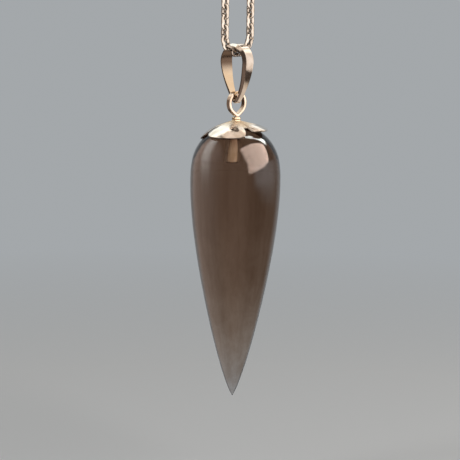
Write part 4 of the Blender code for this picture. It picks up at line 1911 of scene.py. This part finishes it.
METAL_CARDS = (
    Card(
        "cream_card", Lit.METAL, ((76.0, -17.5), (132.0, -17.5), (136.0, 50.0), (72.0, 50.0)),
        0.30, (0.92, 0.80, 0.71), (0.1, 0.15, 0.03, 0.15),
    ),
    Card(
        "crown_card", Lit.METAL, ((104.0, 22.0), (150.0, 24.0), (160.0, 62.0), (100.0, 62.0)),
        0.31, (0.66, 0.58, 0.46),
    ),
    Card(
        "table_card", Lit.METAL, ((70.0, -64.0), (150.0, -64.0), (138.0, -23.5), (72.0, -23.5)),
        0.30, (0.60, 0.50, 0.41), (0.15, 0.15, 0.1, 0.12),
    ),
    Card(
        "front_table", Lit.METAL, ((-60.0, -62.0), (60.0, -62.0), (40.0, 10.0), (-40.0, 10.0)),
        0.30, (0.115, 0.08, 0.064), (0.25, 0.25, 0.2, 0.5),
    ),
    Card(
        "back_table", Lit.METAL, ((146.0, -66.0), (214.0, -66.0), (206.0, -14.0), (154.0, -14.0)),
        0.30, (0.72, 0.58, 0.46), (0.2, 0.2, 0.2, 0.25),
    ),
    Card(
        "near_right", Lit.METAL, oblong(22.0, 70.0, -26.0, 34.0),
        0.33, (0.42, 0.36, 0.32), (0.35, 0.2, 0.3, 0.4),
    ),
    Card(
        "back_card", Lit.METAL, ((138.0, 20.0), (180.0, 20.0), (186.0, 60.0), (138.0, 60.0)),
        0.30, (0.85, 0.80, 0.72), (0.1, 0.15, 0.15, 0.15),
    ),
    Card(
        "white_card", Lit.METAL, ((-172.0, 18.0), (-112.0, 18.0), (-95.0, 64.0), (172.0, 68.0)),
        0.32, (1.0, 1.02, 0.94), (0.12, 0.12, 0.12, 0.12),
    ),
    Card("ceiling_card", Lit.METAL, OVERHEAD, 0.34, (0.80, 0.66, 0.55)),
    Card("left_card", Lit.METAL, oblong(-128.0, -58.0, 14.0, 54.0), 0.36, (0.62, 0.56, 0.50)),
    Card("loop_card", Lit.WIRE, oblong(-135.0, -55.0, -40.0, 24.0), 0.37, (0.13, 0.105, 0.09)),
    Card(
        "front_card", Lit.WIRE, oblong(-48.0, 104.0, -40.0, 55.0),
        0.38, (1.22, 1.09, 0.98), (0.25, 0.1, 0.25, 0.25),
    ),
    Card(
        "clasp_front", Lit.CLASP, oblong(-55.0, 110.0, -50.0, 50.0),
        0.39, (0.36, 0.345, 0.325), (0.5, 0.3, 0.6, 0.3),
    ),
    Card("wire_ceiling", Lit.WIRE, OVERHEAD, 0.33, (0.80, 0.70, 0.62)),
)


@dataclass
class Studio:
    """The camera, the soft lights, the cards for the mirrors, the plain backdrop and the floor."""

    image_size: float = 460.0
    pixels_per_mm: float = 6.0
    axis_pixel: float = 234.6
    top_pixel: float = 126.0
    azimuth: float = math.radians(-45.0)
    elevation: float = math.radians(8.0)
    roll: float = math.radians(0.85)
    distance: float = 450.0 * MM
    sensor: float = 36.0
    clip: Flat = (0.01, 20.0)
    backdrop: Colour = (0.37, 0.39, 0.405)
    ambient: Colour = (0.30, 0.29, 0.28)
    room: Colour = (0.065, 0.047, 0.038)
    backdrop_core: float = 30.0
    backdrop_edge: float = 62.0
    floor_colour: Colour = (0.78, 0.83, 0.865)
    floor_roughness: float = 0.9
    floor_drop: float = 14.0 * MM
    floor_radius: float = 3.5
    floor_rings: tuple[float, ...] = (0.01, 0.03, 0.1, 0.3, 1.0)
    floor_steps: int = 96
    floor_fade: Flat = (0.10, 0.26)
    card_steps: int = 24
    window: Panel = Panel("window", 58.0, 24.0, 0.42, (0.40, 0.36), 2.2, (1.0, 0.90, 0.82))
    side_fill: Panel = Panel("side_fill", -62.0, 30.0, 0.45, (0.12, 0.34), 2.0, (1.0, 0.96, 0.92))
    core_light: Panel = Panel("core_light", 30.0, 14.0, 0.30, (0.20, 0.20), 7.0, (0.94, 1.0, 1.03))

    def way(self, azimuth: float, elevation: float) -> Vector:
        """Way out from the object.

        Args:
            azimuth: degrees to the right of the camera.
            elevation: degrees above level.

        Returns:
            The unit vector.
        """
        turn = self.azimuth + math.radians(azimuth)
        rise = math.radians(elevation)
        return Vector((math.sin(turn) * math.cos(rise), -math.cos(turn) * math.cos(rise), math.sin(rise)))

    def stand(self, aim: Vector, toward: Vector, distance: float) -> Matrix:
        """Place of a camera or light that looks at a point from a direction and a distance."""
        look = (-toward).to_track_quat("-Z", "Y").to_matrix().to_4x4()
        return Matrix.Translation(aim + toward * distance) @ look

    def build_camera(self, top: float) -> None:
        """Points the camera.

        Args:
            top: height of the stone's top, which the photograph shows at top_pixel.
        """
        per_pixel = MM / self.pixels_per_mm
        middle_height = top + (self.top_pixel - self.image_size / 2) * per_pixel / math.cos(self.elevation)
        toward = self.way(0.0, math.degrees(self.elevation))
        right = Vector((math.cos(self.azimuth), math.sin(self.azimuth), 0.0))
        aim = Vector((0.0, 0.0, middle_height)) + right * (self.image_size / 2 - self.axis_pixel) * per_pixel
        camera = bpy.data.cameras.new("camera")
        camera.sensor_width = self.sensor
        camera.lens = self.sensor * self.distance / (self.image_size * per_pixel)
        camera.clip_start, camera.clip_end = self.clip
        holder = put("camera", camera)
        holder.matrix_world = self.stand(aim, toward, self.distance) @ Matrix.Rotation(self.roll, 4, "Z")
        bpy.context.scene.camera = holder

    def add_panel(self, panel: Panel) -> SceneObject:
        """Adds a soft light, which mirrors and the camera don't see.

        Args:
            panel: where it stands and what it gives.

        Returns:
            The light's object.
        """
        light = bpy.data.lights.new(panel.name, "AREA")
        light.shape = "RECTANGLE"
        light.size, light.size_y = panel.size
        light.energy = panel.radiance * math.pi * panel.size[0] * panel.size[1]
        light.color = panel.colour
        holder = put(panel.name, light)
        centre = (CAD_BOX[0] + CAD_BOX[1]) / 2
        holder.matrix_world = self.stand(centre, self.way(panel.azimuth, panel.elevation), panel.distance)
        holder.visible_camera = False
        holder.visible_transmission = False
        holder.visible_glossy = False
        return holder

    def add_core_light(self) -> None:
        """Lights the cement and the peg through the stone, as the light that the stone lets in does."""
        holder = self.add_panel(self.core_light)
        holder.visible_glossy = True
        holder.light_linking.receiver_collection = Lit.CORE.group()
        open_to = bpy.data.collections.new("core_light_passes")
        for piece in Lit.STONE.group().objects:
            open_to.objects.link(piece)
        holder.light_linking.blocker_collection = open_to
        for entry in open_to.collection_objects:
            entry.light_linking.link_state = "EXCLUDE"

    def add_card(self, card: Card, centre: Vector) -> None:
        """Hangs a card round a centre.

        Args:
            card: where it hangs and how it glows.
            centre: what its angles and distance are measured from.
        """
        points = [centre + self.way(*corner) * card.distance for corner in card.corners]
        places = shares(self.card_steps)
        work = bmesh.new()
        rows = []
        levels = []
        for rise in places:
            left = points[0].lerp(points[3], rise)
            right = points[1].lerp(points[2], rise)
            rows.append([work.verts.new(left.lerp(right, across)) for across in places])
            levels += [card.glow(across, rise) for across in places]
        for low, high in zip(rows, rows[1:]):
            for step in range(self.card_steps):
                work.faces.new((low[step], low[step + 1], high[step + 1], high[step]))
        mesh = bpy.data.meshes.new(card.name)
        work.to_mesh(mesh)
        work.free()
        store(mesh, GLOW, levels)
        mesh.materials.append(card.material())
        holder = put(card.name, mesh)
        holder.visible_camera = False
        holder.visible_diffuse = False
        holder.visible_transmission = False
        holder.visible_shadow = False
        holder.light_linking.receiver_collection = card.lit.group()

    def seen_directly(self, graph: Graph) -> Socket:
        """1 for rays from the camera or through the stone, and 0 for others."""
        path = graph.add("ShaderNodeLightPath").outputs
        return graph.maths("MAXIMUM", path[Ray.CAMERA.value], path[Ray.TRANSMISSION.value])

    def build_world(self) -> None:
        """A plain backdrop for what is seen, a dim room for what is mirrored, soft light for the rest."""
        world = bpy.data.worlds.new("studio")
        bpy.context.scene.world = world
        world.use_nodes = True
        graph = Graph(world.node_tree)
        base = world.node_tree.nodes["Background"]
        base.inputs["Color"].default_value = (*self.ambient, 1.0)
        seen = graph.made("ShaderNodeBackground", {"Color": (*self.backdrop, 1.0), "Strength": 1.0})
        ways = {0: graph.add("ShaderNodeTexCoord").outputs["Generated"], 1: self.way(180.0, 0.0)}
        limits = {
            "Value": graph.add("ShaderNodeVectorMath", ways, operation="DOT_PRODUCT").outputs["Value"],
            "From Min": math.cos(math.radians(self.backdrop_edge)),
            "From Max": math.cos(math.radians(self.backdrop_core)),
        }
        share = graph.made("ShaderNodeMapRange", limits, interpolation_type="SMOOTHSTEP")
        around = {"Color": graph.mix(share, self.room, self.backdrop), "Strength": 1.0}
        mirrored = graph.made("ShaderNodeBackground", around)
        glossy = graph.add("ShaderNodeLightPath").outputs[Ray.GLOSSY.value]
        unseen = graph.made("ShaderNodeMixShader", {"Fac": glossy, 1: base.outputs[0], 2: mirrored})
        plain = self.seen_directly(graph)
        graph.show(Surface=graph.made("ShaderNodeMixShader", {"Fac": plain, 1: unseen, 2: seen}))

    def build_floor(self) -> None:
        """A plain pale floor that keeps the shadow near the object and fades into the backdrop."""
        height = CAD_BOX[0].z - self.floor_drop
        rings = [[Vector((0.0, 0.0, height))]]
        for share in self.floor_rings:
            circle = arc((0.0, 0.0), self.floor_radius * share, 0.0, 2 * math.pi, self.floor_steps)
            rings.append([Vector((x, y, height)) for x, y in circle[:-1]])
        mesh = grid_mesh("floor", rings, False)
        material, graph, shader, place = new_material("pale_floor")
        looks = {
            "Base Color": (*self.floor_colour, 1.0),
            "Roughness": self.floor_roughness,
            "Specular IOR Level": 0.0,
        }
        graph.fill(shader, looks)
        level = graph.made("ShaderNodeVectorMath", {0: place, 1: (1.0, 1.0, 0.0)}, operation="MULTIPLY")
        away = graph.add("ShaderNodeVectorMath", {0: level}, operation="LENGTH").outputs["Value"]
        fade = graph.spread(away, 0.0, 1.0, *self.floor_fade)
        far = graph.maths("MULTIPLY", fade, self.seen_directly(graph))
        glow = graph.made("ShaderNodeEmission", {"Color": (*self.backdrop, 1.0), "Strength": 1.0})
        graph.show(Surface=graph.made("ShaderNodeMixShader", {"Fac": far, 1: shader.outputs[0], 2: glow}))
        mesh.materials.append(material)
        floor = put("floor", mesh)
        floor.visible_glossy = False

    def build(self, stone: StoneDrop) -> None:
        """Sets up everything that isn't the object.

        Args:
            stone: the stone, which sets the camera's height and the middle of its own cards.
        """
        bpy.context.scene.view_settings.view_transform = "Standard"
        self.build_camera(stone.top)
        self.build_world()
        self.build_floor()
        self.add_panel(self.window)
        self.add_panel(self.side_fill)
        self.add_core_light()
        shoulder = Vector((0.0, 0.0, stone.top - stone.shoulder_height))
        for card in STONE_CARDS:
            self.add_card(card, shoulder)
        hanger = joint_place("drop_swing")
        for card in METAL_CARDS:
            self.add_card(card, hanger)


def main() -> None:
    """Builds each sub-assembly from the stone up, then the studio."""
    logging.basicConfig(level=logging.INFO, format="%(name)s: %(message)s")
    stone = StoneDrop()
    stone.build()
    cap_silver = SilverFinish("cap_silver", inner=(0.95, 0.80, 0.58), inner_blur=0.6)
    PetalCap(stone).build(cap_silver.material())
    # The bail's golden inner colour is a painted reflection of warm light on its inner faces.
    bail_silver = SilverFinish(
        "bail_silver",
        inner=(0.84, 0.68, 0.46),
        inner_share=0.95,
        gloss=0.05,
        wear=0.13,
        dent_depth=0.015 * MM,
    )
    loop_silver = SilverFinish(
        "loop_silver",
        bright=(0.77, 0.65, 0.55),
        dull=(0.60, 0.48, 0.38),
        inner=(0.74, 0.60, 0.47),
        gloss=0.12,
    )
    solder = SilverFinish("neck_solder", bright=(0.95, 0.82, 0.62), dull=(0.80, 0.62, 0.40), gloss=0.14)
    Hanger().build(bail_silver.material(), loop_silver.material(), solder.material())
    # The chain's dark inner colour is painted shade on the links' inner sides, where they lie in one
    # another's shade.
    chain_silver = SilverFinish(
        "chain_silver", inner=(0.11, 0.08, 0.06), inner_share=0.95, dent_depth=0.006 * MM
    )
    CableChain().build(chain_silver.material())
    steel = DrawnMetalFinish("clasp_steel", (0.60, 0.60, 0.61), (0.44, 0.44, 0.45), 0.24)
    Clasp().build(SilverFinish("clasp_silver").material(), steel.material())
    Studio().build(stone)


if __name__ == "__main__":
    main()
